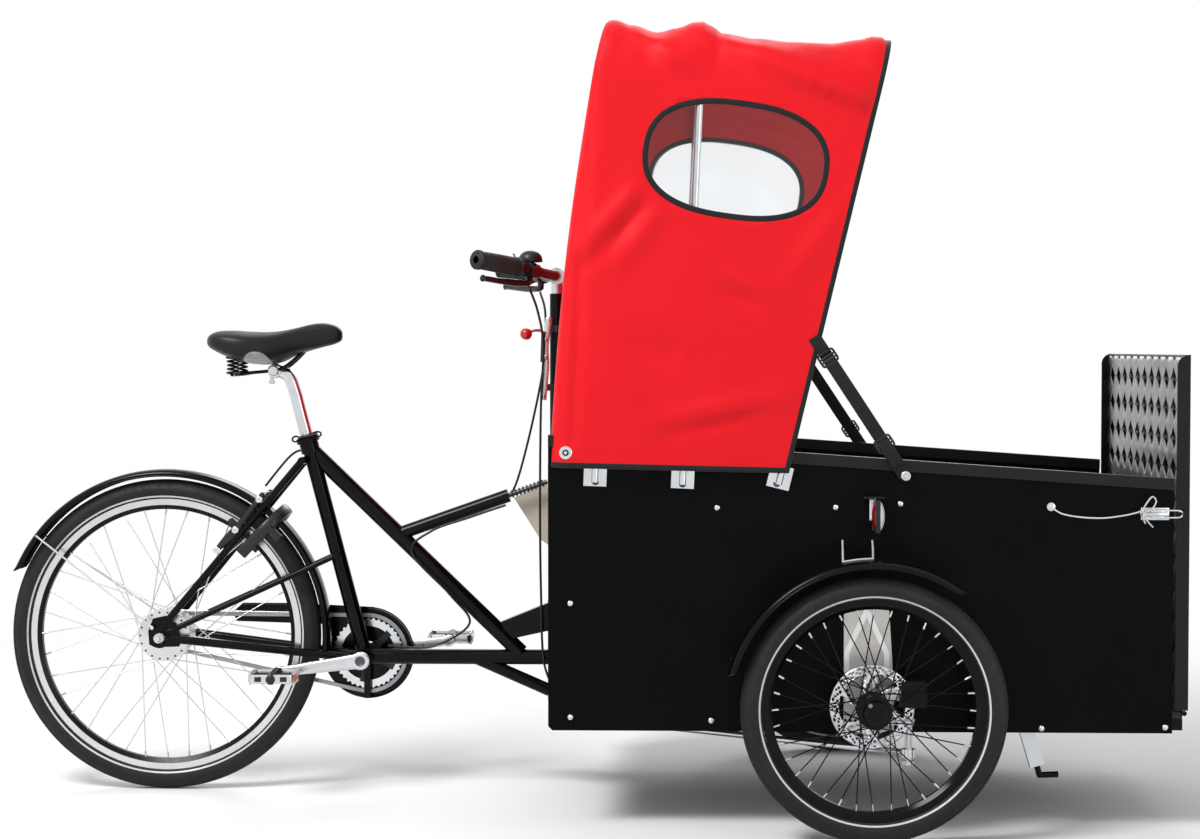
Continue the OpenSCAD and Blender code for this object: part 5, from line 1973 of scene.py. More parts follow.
@dataclass
class Bolts:
    """Domed bolt heads on the box sides.

    Attributes:
        spots: x and z of each bolt.
        brackets: x and z of the nut on each bow bracket.
        strap_knob: x and z of the strap's knob.
        face_y: Distance of the side's face from the middle.
        radius: Radius of a head.
    """

    spots: tuple[Pair, ...] = (
        (1148, 621), (1375, 622), (1498, 629), (866, 436), (866, 216), (1137, 211), (1769, 199), (2004, 202))
    brackets: tuple[Pair, ...] = ((914.5, 671), (1081.5, 667), (1262, 668))
    strap_knob: Pair = (1506, 683.4)
    face_y: float = 380.1
    radius: float = 6.4

    def build(self) -> None:
        """Makes the heads on both sides."""
        dome = [(0.0, 0.0), (self.radius, 0.0), (self.radius, 1.5)]
        dome += [(self.radius * math.cos(a), 1.5 + 5.2 * math.sin(a))
                 for a in (math.pi / 2 * k / 7 for k in range(1, 8))]
        heads = [stud(dome, (x, self.face_y, z), side, 24) for side in Side for x, z in self.spots]
        SHOP.piece("box_bolts", join(heads), BRIGHT_STEEL, "frame", crease=50)
        self.build_nuts()

    def build_nuts(self) -> None:
        """Makes the nuts of the hood's brackets and the caps of the strap knobs."""
        nut = [(0.0, 0.0), (7.2, 0.0), (7.2, 1.2), (5.4, 1.6), (5.4, 4.6), (4.4, 5.6), (0.0, 5.6)]
        cap = [(0.0, -1.0), (8.4, -1.0), (9.2, 0.0), (9.2, 1.8), (7.8, 3.0), (5.8, 3.0), (4.8, 1.4), (3.4, 1.4),
               (2.8, 2.4), (0.0, 2.4)]
        nuts = [stud(nut, (x, self.face_y + 4.4, z), side, 18) for side in Side for x, z in self.brackets]
        x, z = self.strap_knob
        caps = [stud(cap, (x, self.face_y + 23.9, z), side, 32) for side in Side]
        SHOP.piece("bracket_nuts", join(nuts), DARK_STEEL, "frame", crease=40)
        SHOP.piece("strap_knob_caps", join(caps), ALLOY, "frame", crease=40)


@dataclass
class SeatPost:
    """Bent seat post with its clamp, the saddle rails and two coil springs.

    Attributes:
        post: Middle line of the post from inside the seat tube to the clamp.
        post_r: Radius of the post.
        clamp: Middle of the clamp.
        rail: Middle line of a rail, on the right.
        spring: Foot of a spring, on the right.
    """

    post: Line = (
        (325.8, 0, 632.6), (298, 0, 739), (282.8, 0, 797.0), (273.7, 0, 831.9), (262, 0, 864), (249, 0, 874.5),
        (236, 0, 878))
    post_r: float = 13.6
    clamp: Point = (232, 0, 879)
    rail: Line = (
        (150, -46, 871), (158, -28, 871.5), (180, -24, 875), (231, -24, 880), (254, -23, 887), (280, -18, 908),
        (298, -15, 928))
    spring: Point = (152, -52, 872)

    def build_springs(self) -> Mesh:
        """Returns the coils of both springs."""
        parts = []
        for side in Side:
            coil = []
            for k in range(97):
                a = 2 * math.pi * 4.5 * k / 96
                r = 13 - 2.5 * math.sin(math.pi * k / 96)
                coil.append(place(self.spring[0] + r * math.cos(a), -side.value * self.spring[1] + r * math.sin(a),
                                  self.spring[2] - 1 + 36 * k / 96))
            parts.append(tube(coil, 2.1 * MM, 8))
        return join(parts)

    def build(self) -> None:
        """Makes the post and what it carries in place of its node."""
        line = run_through(self.post, 8)
        SHOP.piece("seat_post_tube", tube(line, self.post_r * MM, 28), BRIGHT_STEEL, "frame", ("seat_post",))
        x, _, z = self.clamp
        barrel = [(0.0, 0.0), (9.0, 0.0), (11.0, 2.0), (11.0, 8.0), (13.6, 9.0), (13.6, 22.0), (15.0, 24.0),
                  (15.0, 40.0), (13.6, 42.0), (13.6, 55.0), (11.0, 56.0), (11.0, 62.0), (9.0, 64.0), (0.0, 64.0)]
        parts = [lathe(barrel, Vector((x, -32, z)), Vector((x, 32, z)), 28)]
        nut = [(0.0, 0.0), (6.0, 0.0), (7.0, 1.0), (7.0, 6.0), (4.0, 6.5), (4.0, 22.0), (0.0, 22.0)]
        parts.append(lathe(nut, Vector((x - 8, 0, z - 27)), Vector((x - 8, 0, z)), 18))
        SHOP.piece("seat_clamp", join(parts), ALLOY, "frame")
        rails = [tube(run_through(side.turned_over(self.rail), 8), 3.5 * MM, 12) for side in Side]
        rails.append(tube([place(152, y, 872) for y in (-62, -20, 20, 62)], 4 * MM, 12))
        SHOP.piece("saddle_rails", join(rails), BLACK_ENAMEL, "frame")
        SHOP.piece("saddle_springs", self.build_springs(), BLACK_ENAMEL, "frame")


@dataclass
class BrakeDisc:
    """Slotted brake disc with swept arms.

    Attributes:
        side: The wheel's side.
        middle: x, distance from the middle plane and z of the disc.
        outer: Radius of the disc.
        inner: Inner radius of its braking ring.
        hub: Radius of its middle hole.
        thick: Thickness.
    """

    side: Side
    middle: Point = (1439, 454, 250)
    outer: float = 80
    inner: float = 61
    hub: float = 18.3
    thick: float = 1.9

    def flat(self, radii: Sequence[float], steps: int) -> Mesh:
        """Spins flat rings of given radii.

        Args:
            radii: Radii of the rings' edges.
            steps: Steps of the full turn.

        Returns:
            The mesh.
        """
        at = place(self.middle[0], self.side.value * self.middle[1], self.middle[2])
        bm = bmesh.new()
        verts = [bm.verts.new(at + Vector((r * MM, 0, 0))) for r in radii]
        edges = [bm.edges.new(pair) for pair in zip(verts, verts[1:])]
        bmesh.ops.spin(bm, geom=verts + edges, cent=at, axis=(0, 1, 0), angle=2 * math.pi, steps=steps, use_merge=True)
        return bm

    def build(self) -> None:
        """Makes the disc in place of its node."""
        radii = [self.hub, 24, 30, 38, 46, 54, self.inner, 64, 67, 70, 73, 76, self.outer]
        steps = 180
        bm = self.flat(radii, steps)
        at = place(self.middle[0], self.side.value * self.middle[1], self.middle[2])
        gone = []
        for face in bm.faces:
            spot = (face.calc_center_median() - at) / MM
            r = math.hypot(spot.x, spot.z)
            turn = math.degrees(math.atan2(spot.z, spot.x)) * self.side.value
            if self.inner + 3 < r < 76:
                if (turn + 1.6 * (r - self.inner)) % 15 < 4.6:
                    gone.append(face)
            elif 30 < r < self.inner and (turn - 0.75 * (r - 30)) % 60 > 16:
                gone.append(face)
        bmesh.ops.delete(bm, geom=gone, context="FACES")
        name = f"brake_disc_{self.side.word}"
        thicken(SHOP.piece(name + "_plate", bm, BRIGHT_STEEL, f"front_wheel_{self.side.word}", (name,)), self.thick)


@dataclass
class Crank:
    """Tapered crank arms with their bolts, and the toothed chainring on its spider.

    Attributes:
        middle: x and z of the axle.
        tilt_deg: How far the arms are turned from level.
        length: From the axle to a pedal's pin.
        arm_y: Distance of the arms from the middle plane.
        ring_y: Distance of the chainring from the middle plane.
        teeth: Teeth of the chainring.
    """

    middle: Pair = (418, 280)
    tilt_deg: float = 8
    length: float = 170
    arm_y: float = 73
    ring_y: float = 51.5
    teeth: int = 40

    def spot(self, along: float, y: float, up: float) -> Vector:
        """Returns a place by its distance along the left arm, from the middle plane and square to the arm."""
        c, s = math.cos(math.radians(self.tilt_deg)), math.sin(math.radians(self.tilt_deg))
        return place(self.middle[0] + along * c - up * s, y, self.middle[1] + along * s + up * c)

    def half(self, along: float) -> float:
        """Returns half the height of an arm at a place along it."""
        eye = math.sqrt(max(0.0, 19.0 ** 2 - along ** 2))
        boss = math.sqrt(max(0.0, 13.0 ** 2 - (along - self.length) ** 2))
        web = mix(16, 9.5, along / self.length) if 0 <= along <= self.length else 0
        return max(3.0, eye, boss, web)

    def build_arm(self, side: Side) -> Mesh:
        """Returns the arm of one side."""
        steps = [-19, -18, -16, -13, -9, -4, 2, 8, 12, 16, 30, 60, 100, 140, 155, 160, 165, 170, 175, 179, 182, 183]
        rings = []
        for a in steps:
            half, thick = self.half(a), mix(7.6, 6.2, smooth(a / self.length))
            thick -= 1.6 * smooth((3.5 - half) / 2)
            rings.append([self.spot(side.value * a, side.value * (self.arm_y + thick * bulge(math.sin(q), 0.5)),
                                    half * bulge(math.cos(q), 0.6)) for q in turns(24)])
        return loft(rings)

    def build_ring(self) -> Mesh:
        """Returns the toothed ring."""
        rings = []
        for inner, y in ((False, -1.5), (False, 1.5), (True, 1.5), (True, -1.5)):
            ring = []
            for k in range(4 * self.teeth):
                a = math.pi * k / (2 * self.teeth)
                r = 57.5 if inner else (75.4, 74.2, 71.0, 71.6)[k % 4]
                ring.append(self.spot(r * math.cos(a), self.ring_y + y, r * math.sin(a)))
            rings.append(ring)
        return loft(rings, back_to_start=True)

    def build_spider(self) -> Mesh:
        """Returns the spider's arms on their boss."""
        parts = [turned([(9.2, 41.5), (20, 41.5), (22, 43), (22, 55), (20, 56), (9.2, 56)], 40,
                        place(self.middle[0], 0, self.middle[1]))]
        for k in range(5):
            a = math.radians(36 + 72 * k)
            out, side = (math.cos(a), math.sin(a)), (-math.sin(a), math.cos(a))
            rings = []
            for r, w in ((18, 11), (34, 7.5), (52, 6.5), (62, 8)):
                rings.append([self.spot(r * out[0] + w * m * side[0], self.ring_y + 3.4 * n,
                                        r * out[1] + w * m * side[1])
                              for m, n in ((-1, -1), (1, -1), (1, 1), (-1, 1))])
            parts.append(loft(rings))
        return join(parts)

    def build(self) -> None:
        """Makes the set in place of its node."""
        parts = [self.build_arm(side) for side in Side]
        x, z = self.middle
        parts.append(lathe(rod(9.0, 156.0), Vector((x, -78, z)), Vector((x, 78, z)), 32))
        for side in Side:
            pin = self.spot(side.value * self.length, 0, 0) / MM - Vector((AXLE_X / MM, 0, 0))
            parts.append(lathe([(0.0, 0.0), (5.0, 0.0), (5.0, 113.0), (0.0, 114.0)],
                               pin + Vector((0, side.value * 70, 0)), pin + Vector((0, side.value * 90, 0)), 20))
        SHOP.piece("crank_arms", join(parts), ALLOY, "crank", ("crank_set",), 40)
        SHOP.piece("chainring", self.build_ring(), BRIGHT_STEEL, "crank", crease=30)
        SHOP.piece("chainring_spider", self.build_spider(), LEVER_PLASTIC, "crank", crease=30)
        cap = [(0.0, 0.0), (10.5, 0.0), (10.5, 1.6), (8.5, 2.2), (7.0, 1.2), (0.0, 1.2)]
        caps = [stud(cap, (x, 80.2, z), side, 28) for side in Side]
        SHOP.piece("crank_bolts", join(caps), DARK_STEEL, "crank", crease=40)
        guard = turned([(24, 58.2), (61, 58.2), (61, 59.8), (24, 59.8)], 72, place(x, 0, z))
        SHOP.piece("chain_guard_plate", guard, BLACK_ENAMEL, "frame", crease=40)


@dataclass
class Pedal:
    """Cage pedal with a barrel, toothed treads and reflectors.

    Attributes:
        side: The pedal's side.
        pin: x and z of its pin.
        half: Half length and half width of the cage.
        y: Distance of the cage's middle from the middle plane.
    """

    side: Side
    pin: Pair
    half: Pair = (44.0, 39.5)
    y: float = 138

    def at(self, x: float, y: float, z: float) -> Vector:
        """Returns a place given from the cage's middle, outward along y."""
        return place(self.pin[0] + x, self.side.value * (self.y + y), self.pin[1] + z)

    def lumps(self, rows: Iterable[Sequence[float]], round_mm: float) -> Mesh:
        """Returns blocks with rounded edges, each by its middle in the cage and its sizes."""
        return blocks(((self.at(*row[:3]), row[3:]) for row in rows), round_mm, 2)

    def build_cage(self) -> Mesh:
        """Returns the cage's rounded frame with its teeth."""
        a, b, r = *self.half, 9.0
        path, faces = [], []
        for cx, cy, turn in ((a - r, b - r, 0), (r - a, b - r, 90), (r - a, r - b, 180), (a - r, r - b, 270)):
            for k in range(7):
                q = math.radians(turn + 15 * k)
                path.append(self.at(cx + r * math.cos(q), cy + r * math.sin(q), 0))
                faces.append(Vector((math.cos(q), self.side.value * math.sin(q), 0)))
        teeth = [(m * a, y, n * 10.5, 3.6, 5, 5) for m in (-1, 1) for n in (-1, 1) for y in (-30, -18, -6, 6, 18, 30)]
        return join((band(path, faces, 19 * MM, 4.4 * MM, closed=True), self.lumps(teeth, 0.8)))

    def build(self) -> None:
        """Makes the pedal in place of its node."""
        word, body = self.side.word, f"pedal_{self.side.word}"
        SHOP.piece(f"pedal_cage_{word}", self.build_cage(), ALLOY, body, (body,), 40)
        barrel = [(0.0, 0.0), (7.0, 0.0), (9.0, 1.5), (9.0, 7.0), (11.5, 9.0), (11.5, 84.0), (13.0, 86.0),
                  (13.0, 93.0), (5.4, 94.0), (5.4, 90.0), (0.0, 90.0)]
        x, z, way = *self.pin, self.side.value
        core = lathe(barrel, Vector((x, way * 187, z)), Vector((x, way * 100, z)), 28)
        webs = self.lumps(((0, -22, 0, 84, 11, 9), (0, 22, 0, 84, 11, 9), (26, 41.3, 0, 14, 2, 10),
                           (-26, 41.3, 0, 14, 2, 10)), 0.6)
        SHOP.piece(f"pedal_core_{word}", join((core, webs)), LEVER_PLASTIC, body, crease=40)
        lenses = self.lumps(((46.8, 0, 0, 2.6, 54, 13), (-46.8, 0, 0, 2.6, 54, 13)), 0.8)
        SHOP.piece(f"pedal_reflectors_{word}", lenses, AMBER, body)


@dataclass
class RearBrake:
    """Rim brake and ring lock on the rear stays.

    Attributes:
        axle_z: Height of the rear axle.
        lean_deg: How far the lock leans from level, seen from the axle.
        reach: From the axle to the middle of the lock's bow.
        arm: Middle line of a brake arm, on the right.
        pad: Middle of a brake pad, on the right.
        bolts: x, distance from the middle plane and z of the bolts on a side.
    """

    axle_z: float = 326
    lean_deg: float = 46
    reach: float = 302
    arm: Line = (
        (110, -47, 503), (124, -48.5, 516), (155.4, -50, 549), (186, -49, 590), (214, -47, 626))
    pad: Point = (155.4, -22, 549.2)
    bolts: Line = ((155.4, 53.5, 549.2), (116, 51, 507), (205, 51, 613))

    def build_lock(self) -> Mesh:
        """Returns the lock's rounded bow."""
        q = math.radians(self.lean_deg)
        out, along = Vector((math.cos(q), 0, math.sin(q))), Vector((-math.sin(q), 0, math.cos(q)))
        middle = place(0, 0, self.axle_z) + out * (self.reach * MM)
        shape = [(-60, -61, -90), (-40, -61.2, -90), (-20, -61.6, -90)]
        shape += [(62.5 * math.cos(a), 62.5 * math.sin(a), math.degrees(a))
                  for a in (math.pi * (k / 24 - 0.5) for k in range(25))]
        shape += [(-20, 61.6, 90), (-40, 61.2, 90), (-60, 61, 90)]
        points = [middle + out * (u * MM) + Vector((0, v * MM, 0)) for u, v, _ in shape]
        faces = [out * math.cos(math.radians(w)) + Vector((0, math.sin(math.radians(w)), 0)) for _, _, w in shape]
        parts = [band(points, faces, 25 * MM, 14 * MM)]
        barrel = middle + out * (20 * MM) - Vector((0, 62 * MM, 0)) - along * (4 * MM)
        parts.append(tube([barrel - along * (k * 8 * MM) for k in range(5)], 8 * MM, 24))
        return join(parts)

    def build_arm(self, side: Side) -> Mesh:
        """Returns the brake arm of one side, widest at its pad."""
        line = run_through(side.turned_over(self.arm), 6)
        flat = Vector((1, 0, 1.17)).normalized().cross(Vector((0, 1, 0)))
        rings = []
        for i, p in enumerate(line):
            t = i / (len(line) - 1)
            wide = 5.5 + 4 * math.exp(-((t - 0.42) / 0.16) ** 2)
            wide *= 0.55 if i in (0, len(line) - 1) else 1
            rings.append([p + flat * (wide * MM * math.cos(a)) + Vector((0, 4.2 * MM * math.sin(a), 0))
                          for a in turns(16)])
        return loft(rings)

    def build(self) -> None:
        """Makes the brake and the lock in place of their node."""
        SHOP.piece("ring_lock", self.build_lock(), LEVER_PLASTIC, "frame", ("rear_brake",), 50)
        SHOP.piece("brake_arms", join(self.build_arm(side) for side in Side), LEVER_PLASTIC, "frame", crease=50)
        feet = [place(*side.turned_over((self.pad,))[0]) for side in Side]
        pads = blocks(((foot, (54, 8.6, 11)) for foot in feet), 2.2, turn_deg=41)
        SHOP.piece("brake_pads", pads, GRIP_RUBBER, "frame", crease=50)
        head = [(0.0, 0.0), (7.0, 0.0), (7.0, 3.0), (5.0, 4.5), (3.0, 4.5), (3.0, 3.0), (0.0, 3.0)]
        bolts = []
        for side in Side:
            bolts += [stud(head, at, side, 18) for at in self.bolts]
            bolts.append(stud(rod(4.0, 28.0), (155.4, 25, 549.2), side, 16))
        bolts.append(tube([place(212, y, 622 - 0.0012 * (y * y - 2500)) for y in range(-50, 51, 10)], 1.3 * MM, 8))
        SHOP.piece("brake_bolts", join(bolts), BRIGHT_STEEL, "frame", crease=40)


@dataclass
class Latch:
    """Toggle latch of the ramp on one side of the box, with the lanyard's eye bolt.

    Attributes:
        side: The latch's side.
        face_y: Distance of the side's face from the middle.
    """

    side: Side
    face_y: float = 380.1

    def at(self, x: float, out: float, z: float) -> Vector:
        """Returns a place by its x, its distance from the side's face and its height."""
        return place(x, self.side.value * (self.face_y + out), z)

    def build(self) -> None:
        """Makes the latch; the right one stands for the node of both."""
        rows = (((1982, 1.5, 611), (54, 3, 24)), ((1985, 6.5, 611), (26, 10, 15)), ((1964, 7, 611), (10, 8, 10)))
        lever = ((2002, 9, 611), (1985, 12.5, 611), (1966, 13.5, 611), (1951, 14, 612))
        loop = ((1984, 11, 603.5), (2006, 9, 604), (2028, 7.5, 605), (2033, 7.2, 611), (2028, 7.5, 617), (2006, 9, 618),
                (1984, 11, 618.5))
        eye = [(0.0, 0.0), (8.0, 0.0), (8.0, 1.6), (5.0, 2.2), (3.4, 3.2), (3.4, 7.0), (5.6, 8.0), (5.6, 11.0),
               (4.0, 12.0), (0.0, 12.0)]
        parts = [blocks(((self.at(*at), size) for at, size in rows), 1.2),
                 tube(curve_at([self.at(*p) for p in lever], 5), 3.6 * MM, 12),
                 tube(curve_at([self.at(*p) for p in loop], 6), 1.8 * MM, 10),
                 stud(eye, (1785, self.face_y, 624), self.side, 24)]
        nodes = ("latches",) if self.side is Side.RIGHT else ()
        SHOP.piece(f"ramp_latch_{self.side.word}", join(parts), BRIGHT_STEEL, "frame", nodes, 40)


@dataclass
class SideLamp:
    """Position lamp on a side of the box: a dark body, a white lens ahead and a red one behind.

    Attributes:
        side: The lamp's side.
        middle: x, distance from the middle plane and z of the body.
        lens: Half depth, half width and half height of a lens.
    """

    side: Side
    middle: Point = (1452, 404, 607)
    lens: Point = (13, 20, 30)

    def build_lens(self, way: int) -> Mesh:
        """Returns the domed lens ahead, or the flatter one behind for a way of -1."""
        x, y, z = self.middle
        depth, half, high = self.lens
        size = Matrix.Diagonal((depth * (1 if way > 0 else 0.72) * MM, half * MM, high * MM, 1))
        at = Matrix.Translation(place(x + 1.5 * way, self.side.value * y, z))
        lens = bmesh.new()
        bmesh.ops.create_uvsphere(lens, u_segments=32, v_segments=24, radius=1, matrix=at @ size)
        bmesh.ops.bisect_plane(lens, geom=lens.verts[:] + lens.edges[:] + lens.faces[:],
                               plane_co=place(x + way, 0, 0), plane_no=(-way, 0, 0), clear_outer=True)
        bmesh.ops.holes_fill(lens, edges=[e for e in lens.edges if e.is_boundary], sides=0)
        return lens

    def build(self) -> None:
        """Makes the lamp; the right one stands for the node of both."""
        x, y, z = self.middle
        word, out = self.side.word, self.side.value
        rows = (((x, y, z), (9, 42, 63)), ((x - 6, y - 10, z + 35), (40, 28, 3)), ((x, y - 21, z), (16, 6, 60)))
        body = blocks(((place(a, out * b, c), size) for (a, b, c), size in rows), 1.2)
        nodes = ("side_lamps",) if self.side is Side.RIGHT else ()
        SHOP.piece(f"lamp_body_{word}", body, LEVER_PLASTIC, "frame", nodes, 40)
        for way, name, finish in ((1, "white", CLEAR_LENS), (-1, "red", RED_LENS)):
            SHOP.piece(f"lamp_{name}_{word}", self.build_lens(way), finish, "frame", crease=60)
        head = [(0.0, 0.0), (4.2, 0.0), (4.2, 1.6), (2.8, 3.0), (0.0, 3.0)]
        parts = [blocks([(place(x - 8, out * (y - 6), z + 12), (13, 2.4, 42))], 1.0)]
        parts += [stud(head, (x - 9.5, y - 5, z + up), self.side, 18) for up in (-4, 28)]
        parts.append(stud(rod(4.0, 18.0), (x - 8, y - 24, z + 12), self.side, 16))
        SHOP.piece(f"lamp_bracket_{word}", join(parts), ALLOY, "frame", crease=40)


@dataclass
class Mudguard:
    """Rolled guard over a wheel, beaded along its edges, with its wire stays.

    Attributes:
        name: The piece's name.
        nodes: Nodes that it stands for.
        axle: Middle of the wheel.
        reach: Radius of the edges and of the crown.
        half: Half of the width.
        span_deg: Where it starts behind and ends ahead, about the axle from straight ahead upwards.
        wires: Points of each stay.
        wire_r: Radius of a stay.
        wire_finish: Finish of the stays.
        thick: Thickness of the sheet.
        turn_in: Length over which the ends are rounded.
    """

    name: str
    nodes: tuple[str, ...]
    axle: Point
    reach: Pair
    half: float
    span_deg: Pair
    wires: tuple[Line, ...]
    wire_r: float
    wire_finish: object
    thick: float = 1.6
    turn_in: float = 22

    def spot(self, q: float, r: float, y: float) -> Vector:
        """Returns a place by its angle about the axle, its radius and its distance to the left of the wheel."""
        x, middle, z = self.axle
        return place(x + r * math.cos(q), middle + y, z + r * math.sin(q))

    def edge_at(self, t: float) -> float:
        """Returns the radius of the edges at a share of the length, higher at the rounded ends."""
        low, high = self.reach
        length = math.radians(self.span_deg[0] - self.span_deg[1]) * high
        u = max(0.0, 1 - min(t, 1 - t) * length / self.turn_in)
        return mix(low, high - 3, 1 - math.sqrt(1 - u * u))

    def arch(self, low: float, high: float, half: float) -> list[Pair]:
        """Returns radius and y across the guard, from its right edge to its left."""
        return [(mix(low, high, math.sin(a) ** 0.62), -half * bulge(math.cos(a), 0.7))
                for a in (math.pi * k / 24 for k in range(25))]

    def build(self) -> None:
        """Makes the shell, its beads and its stays."""
        steps = 110
        rings, edges = [], ([], [])
        for i in range(steps + 1):
            t = i / steps
            q = math.radians(mix(*self.span_deg, t))
            low, high = self.edge_at(t), self.reach[1]
            section = self.arch(low, high, self.half)
            section += reversed(self.arch(low, high - self.thick, self.half - self.thick))
            rings.append([self.spot(q, r, y) for r, y in section])
            for line, way in zip(edges, (-1, 1)):
                line.append(self.spot(q, low + 0.8, way * (self.half - self.thick / 2)))
        shell = [loft(rings)] + [tube(line, 1.7 * MM, 10) for line in edges]
        SHOP.piece(self.name, join(shell), BLACK_ENAMEL, "frame", self.nodes, 50)
        stays = [tube(run_through(wire, 5 if len(wire) > 2 else 1), self.wire_r * MM, 12) for wire in self.wires]
        SHOP.piece(self.name + "_stays", join(stays), self.wire_finish, "frame", crease=50)


def front_guard(side: Side) -> Mudguard:
    """Returns the guard over a front wheel, held to the box by a bent wire and a rear stay."""
    way = side.value
    wire = tuple((x, way * y, z) for x, y, z in (
        (1388, 381, 558), (1385, 425, 547), (1381, 485, 530.5), (1380.5, 493.5, 528.1), (1385, 495, 528.8),
        (1408, 495, 532.3), (1430, 495, 533.9), (1436, 493.5, 534), (1437, 485, 535.5), (1442, 425, 549),
        (1445, 381, 558)))
    rear = ((1178, way * 381, 330), (1178, way * 463, 330))
    return Mudguard(f"front_guard_{side.word}", ("front_mudguards",) if side is Side.RIGHT else (),
                    (1439, way * 495, 250), (268, 282), 33, (166, 53.5), (wire, rear), 2.0, ZINC_WIRE)


def rear_guard() -> Mudguard:
    """Returns the guard over the rear wheel, with a stay and its eye on each side."""
    wires = []
    for side in Side:
        wires.append(((-14, side.value * 76, 348), (-270, side.value * 27, 534)))
        wires.append(((-14, side.value * 71.1, 348), (-14, side.value * 79, 348)))
    return Mudguard("rear_guard", ("rear_mudguard",), (0, 0, 326), (333, 347), 27, (157, -7), tuple(wires), 2.0,
                    ZINC_WIRE)


@dataclass
class RearAxle:
    """Round washers under the axle's nuts, bolts in the guard's stays and the heads of the spokes.

    Attributes:
        middle: x and z of the axle.
        plate_y: Distance of the end plates' outer faces from the middle plane.
        washer: Inner radius, outer radius and thickness of a washer.
        bolt_at: x, y and z of a stay's bolt, on the left.
        heads_r: Radius at which the spokes' heads lie on the hub.
        heads_y: Distance of the heads from the middle plane.
    """

    middle: Pair = (0, 326)
    plate_y: float = 70.9
    washer: Point = (10.2, 21.5, 3.4)
    bolt_at: Point = (-14, 78.6, 348)
    heads_r: float = 49
    heads_y: float = 34.0

    def build(self) -> None:
        """Makes all three sorts on both sides."""
        x, z = self.middle
        inner, outer, thick = self.washer
        ring = [(inner, 0.0), (outer, 0.0), (outer, thick - 1), (outer - 1, thick), (outer - 5, thick),
                (outer - 6.5, thick - 0.8), (inner, thick - 0.8)]
        bolt = [(0.0, 0.0), (4.6, 0.0), (4.6, 2.6), (3.8, 3.6), (2.2, 4.0), (0.0, 4.0)]
        head = [(0.0, 0.0), (2.5, 0.0), (2.2, 0.9), (1.2, 1.4), (0.0, 1.5)]
        washers, bolts, heads = [], [], []
        for side in Side:
            washers.append(turned([(r, side.value * (self.plate_y + t)) for r, t in ring], 48, place(x, 0, z)))
            bolts.append(stud(bolt, self.bolt_at, side, 6))
            for k in range(18):
                a = math.radians(20 * k + (10 if side is Side.LEFT else 0))
                foot = (x + self.heads_r * math.cos(a), self.heads_y, z + self.heads_r * math.sin(a))
                heads.append(stud(head, foot, side, 10))
        SHOP.piece("axle_washers", join(washers), BLACK_ENAMEL, "frame", crease=40)
        SHOP.piece("stay_bolts", join(bolts), BRIGHT_STEEL, "frame", crease=40)
        SHOP.piece("spoke_heads_rear", join(heads), DARK_STEEL, "rear_wheel", crease=50)


@dataclass
class ParkLever:
    """Parking brake lever on the column: a curved plate on two clamps, a ratchet, a rod and its knob.

    Attributes:
        plate: Middle line of the plate.
        rod: Middle line of the rod.
        knob: Middle of the knob.
        column: x and radius of the column.
    """

    plate: Line = (
        (794, -25, 819), (797, -25, 850), (800, -25, 890), (799, -25, 930), (803, -25, 965), (807, -25, 990))
    rod: Line = ((800, -27, 956), (788, -31, 963), (774, -37, 963), (762, -41, 957))
    knob: Point = (760, -42, 956)
    column: Pair = (822, 19.2)

    def build(self) -> None:
        """Makes the lever in place of its node."""
        line = run_through(self.plate, 8)
        parts = [band(line, [Vector((0, -1, 0))] * len(line), 14 * MM, 4.5 * MM)]
        parts.append(tube(run_through(self.rod, 8), 3.4 * MM, 14))
        nut = [(0.0, 0.0), (5.5, 0.0), (5.5, 2.5), (3.5, 4.0), (0.0, 4.0)]
        for x, z in ((806, 986), (799, 944), (799, 908), (795, 827)):
            parts.append(stud(nut, (x, 27, z), Side.RIGHT, 16))
        SHOP.piece("park_lever_plate", join(parts), ALLOY, "steering", ("parking_lever",), 40)
        x, r = self.column
        dark = []
        for z in (838, 960):
            dark.append(lathe([(r, 0.0), (r + 2.6, 0.0), (r + 2.6, 14.0), (r, 14.0)], Vector((x, 0, z)),
                              Vector((x, 0, z + 14)), 36))
            dark.append(blocks([(place(806, -20, z + 7), (18, 8, 14))]))
        ratchet = run_through(((793, -29, 898), (794, -29, 926), (795, -29, 960)), 6)
        dark.append(band(ratchet, [Vector((0, -1, 0))] * len(ratchet), 9 * MM, 6 * MM))
        SHOP.piece("park_lever_clamps", join(dark), LEVER_PLASTIC, "steering", crease=40)
        ball = bmesh.new()
        bmesh.ops.create_uvsphere(ball, u_segments=32, v_segments=20, radius=12.5 * MM,
                                  matrix=Matrix.Translation(place(*self.knob)))
        SHOP.piece("park_lever_knob", ball, KNOB_RED, "steering")


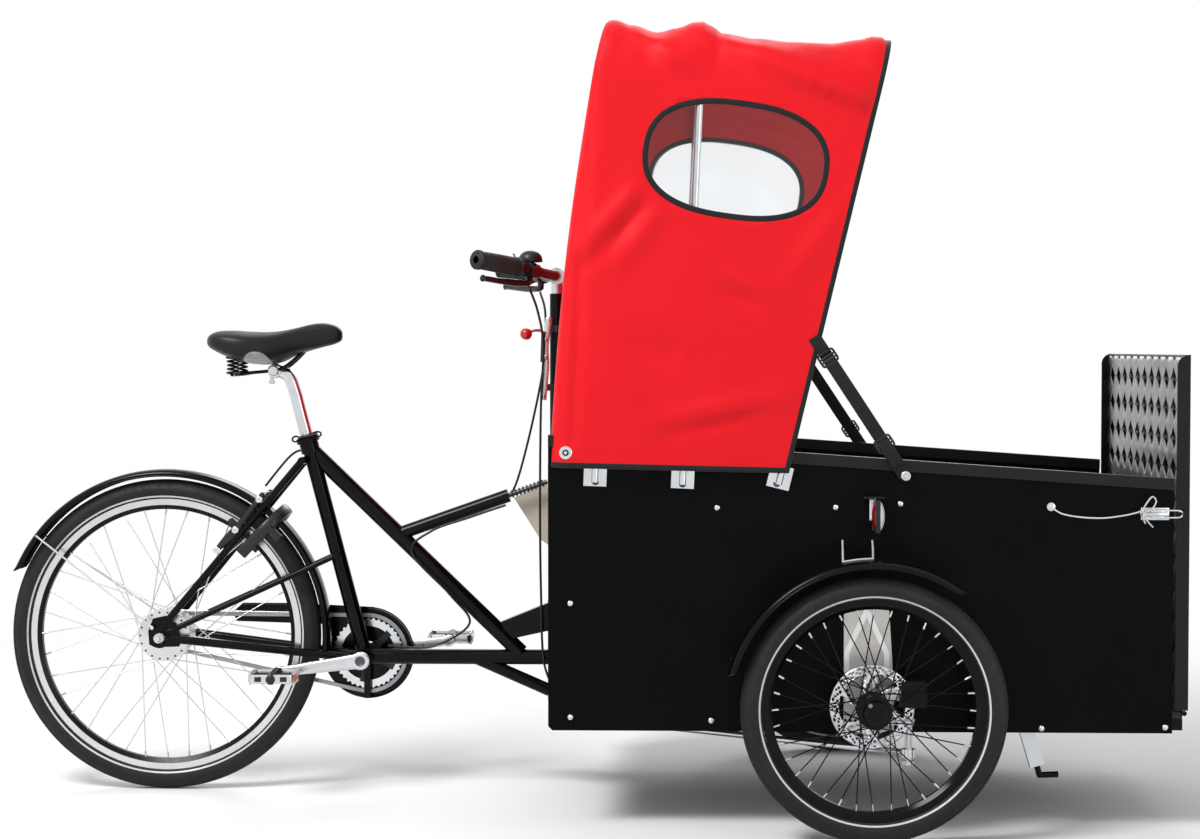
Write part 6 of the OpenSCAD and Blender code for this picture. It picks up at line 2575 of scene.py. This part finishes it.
@dataclass
class SeatCollar:
    """Quick-release collar at the top of the seat tube, with its two loops.

    Attributes:
        top: Top of the seat tube.
        lean: Way that the tube runs.
        radius: Radius of the tube's top.
    """

    top: Point = (298, 0, 739)
    lean: Point = (-0.25294, 0, 0.96748)
    radius: float = 21.5

    def build(self) -> None:
        """Makes the collar and its loops."""
        top, run = Vector(self.top), Vector(self.lean)
        r = self.radius
        ring = [(r - 1, 0.0), (r + 1.6, 0.0), (r + 2.6, 1.0), (r + 2.6, 11.0), (r + 1.6, 12.0), (r - 7, 12.0),
                (r - 7, 11.0)]
        parts = [lathe(ring, top - run * 10, top + run * 10, 40)]
        for x, y, z, a, b, turn in ((277, -22, 737, 7, 5.5, 20), (320, -24, 746, 11, 6, 15)):
            q = math.radians(turn)
            loop = []
            for k in range(25):
                u, v = a * math.cos(math.pi * k / 12), b * math.sin(math.pi * k / 12)
                loop.append(place(x + u * math.cos(q) - v * math.sin(q), y, z + u * math.sin(q) + v * math.cos(q)))
            parts.append(tube(loop, 1.9 * MM, 10))
        parts.append(lathe(rod(4.5, 40.0), Vector((284, -22, 738)), Vector((318, -24, 746)), 14))
        SHOP.piece("seat_collar", join(parts), BLACK_ENAMEL, "frame", crease=40)


def dress_nodes() -> None:
    """Gives every frame node that stays its finish."""
    for finish, nodes in NODE_FINISHES.items():
        for node in nodes:
            SHOP.dress(node, finish)


def write_sizes() -> None:
    """Updates the view layer."""
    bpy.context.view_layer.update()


def main() -> None:
    """Builds the studio and every sub-assembly in order."""
    logging.basicConfig(level=logging.INFO, format="%(name)s: %(message)s")
    Studio().build()
    Lanyard().build()
    dress_nodes()
    Hood().build()
    Straps().build()
    Saddle().build()
    SeatPost().build()
    Cables().build()
    BarFittings().build()
    RampMesh().build()
    Chain().build()
    Bolts().build()
    Tyre("rear_tyre", "rear_wheel", 326, 285, blocks=168).build()
    Crank().build()
    Pedal(Side.RIGHT, (249.65, 256.34)).build()
    Pedal(Side.LEFT, (586.35, 303.66)).build()
    RearBrake().build()
    SeatCollar().build()
    ParkLever().build()
    rear_guard().build()
    RearAxle().build()
    for side in Side:
        front_guard(side).build()
        Latch(side).build()
        SideLamp(side).build()
        BrakeDisc(side).build()
        Tyre(f"front_tyre_{side.word}", f"front_wheel_{side.word}", 250, 209).build()
        Nipples(f"front_nipples_{side.word}", f"front_wheel_{side.word}", (1439, side.value * 495, 250), 191, 28.5,
                (-27.5, 26.5), -side.value).build()
    Nipples("rear_nipples", "rear_wheel", (0, 0, 326), 264, 49, (-30.5, 30.5)).build()
    write_sizes()


if __name__ == "__main__":
    main()
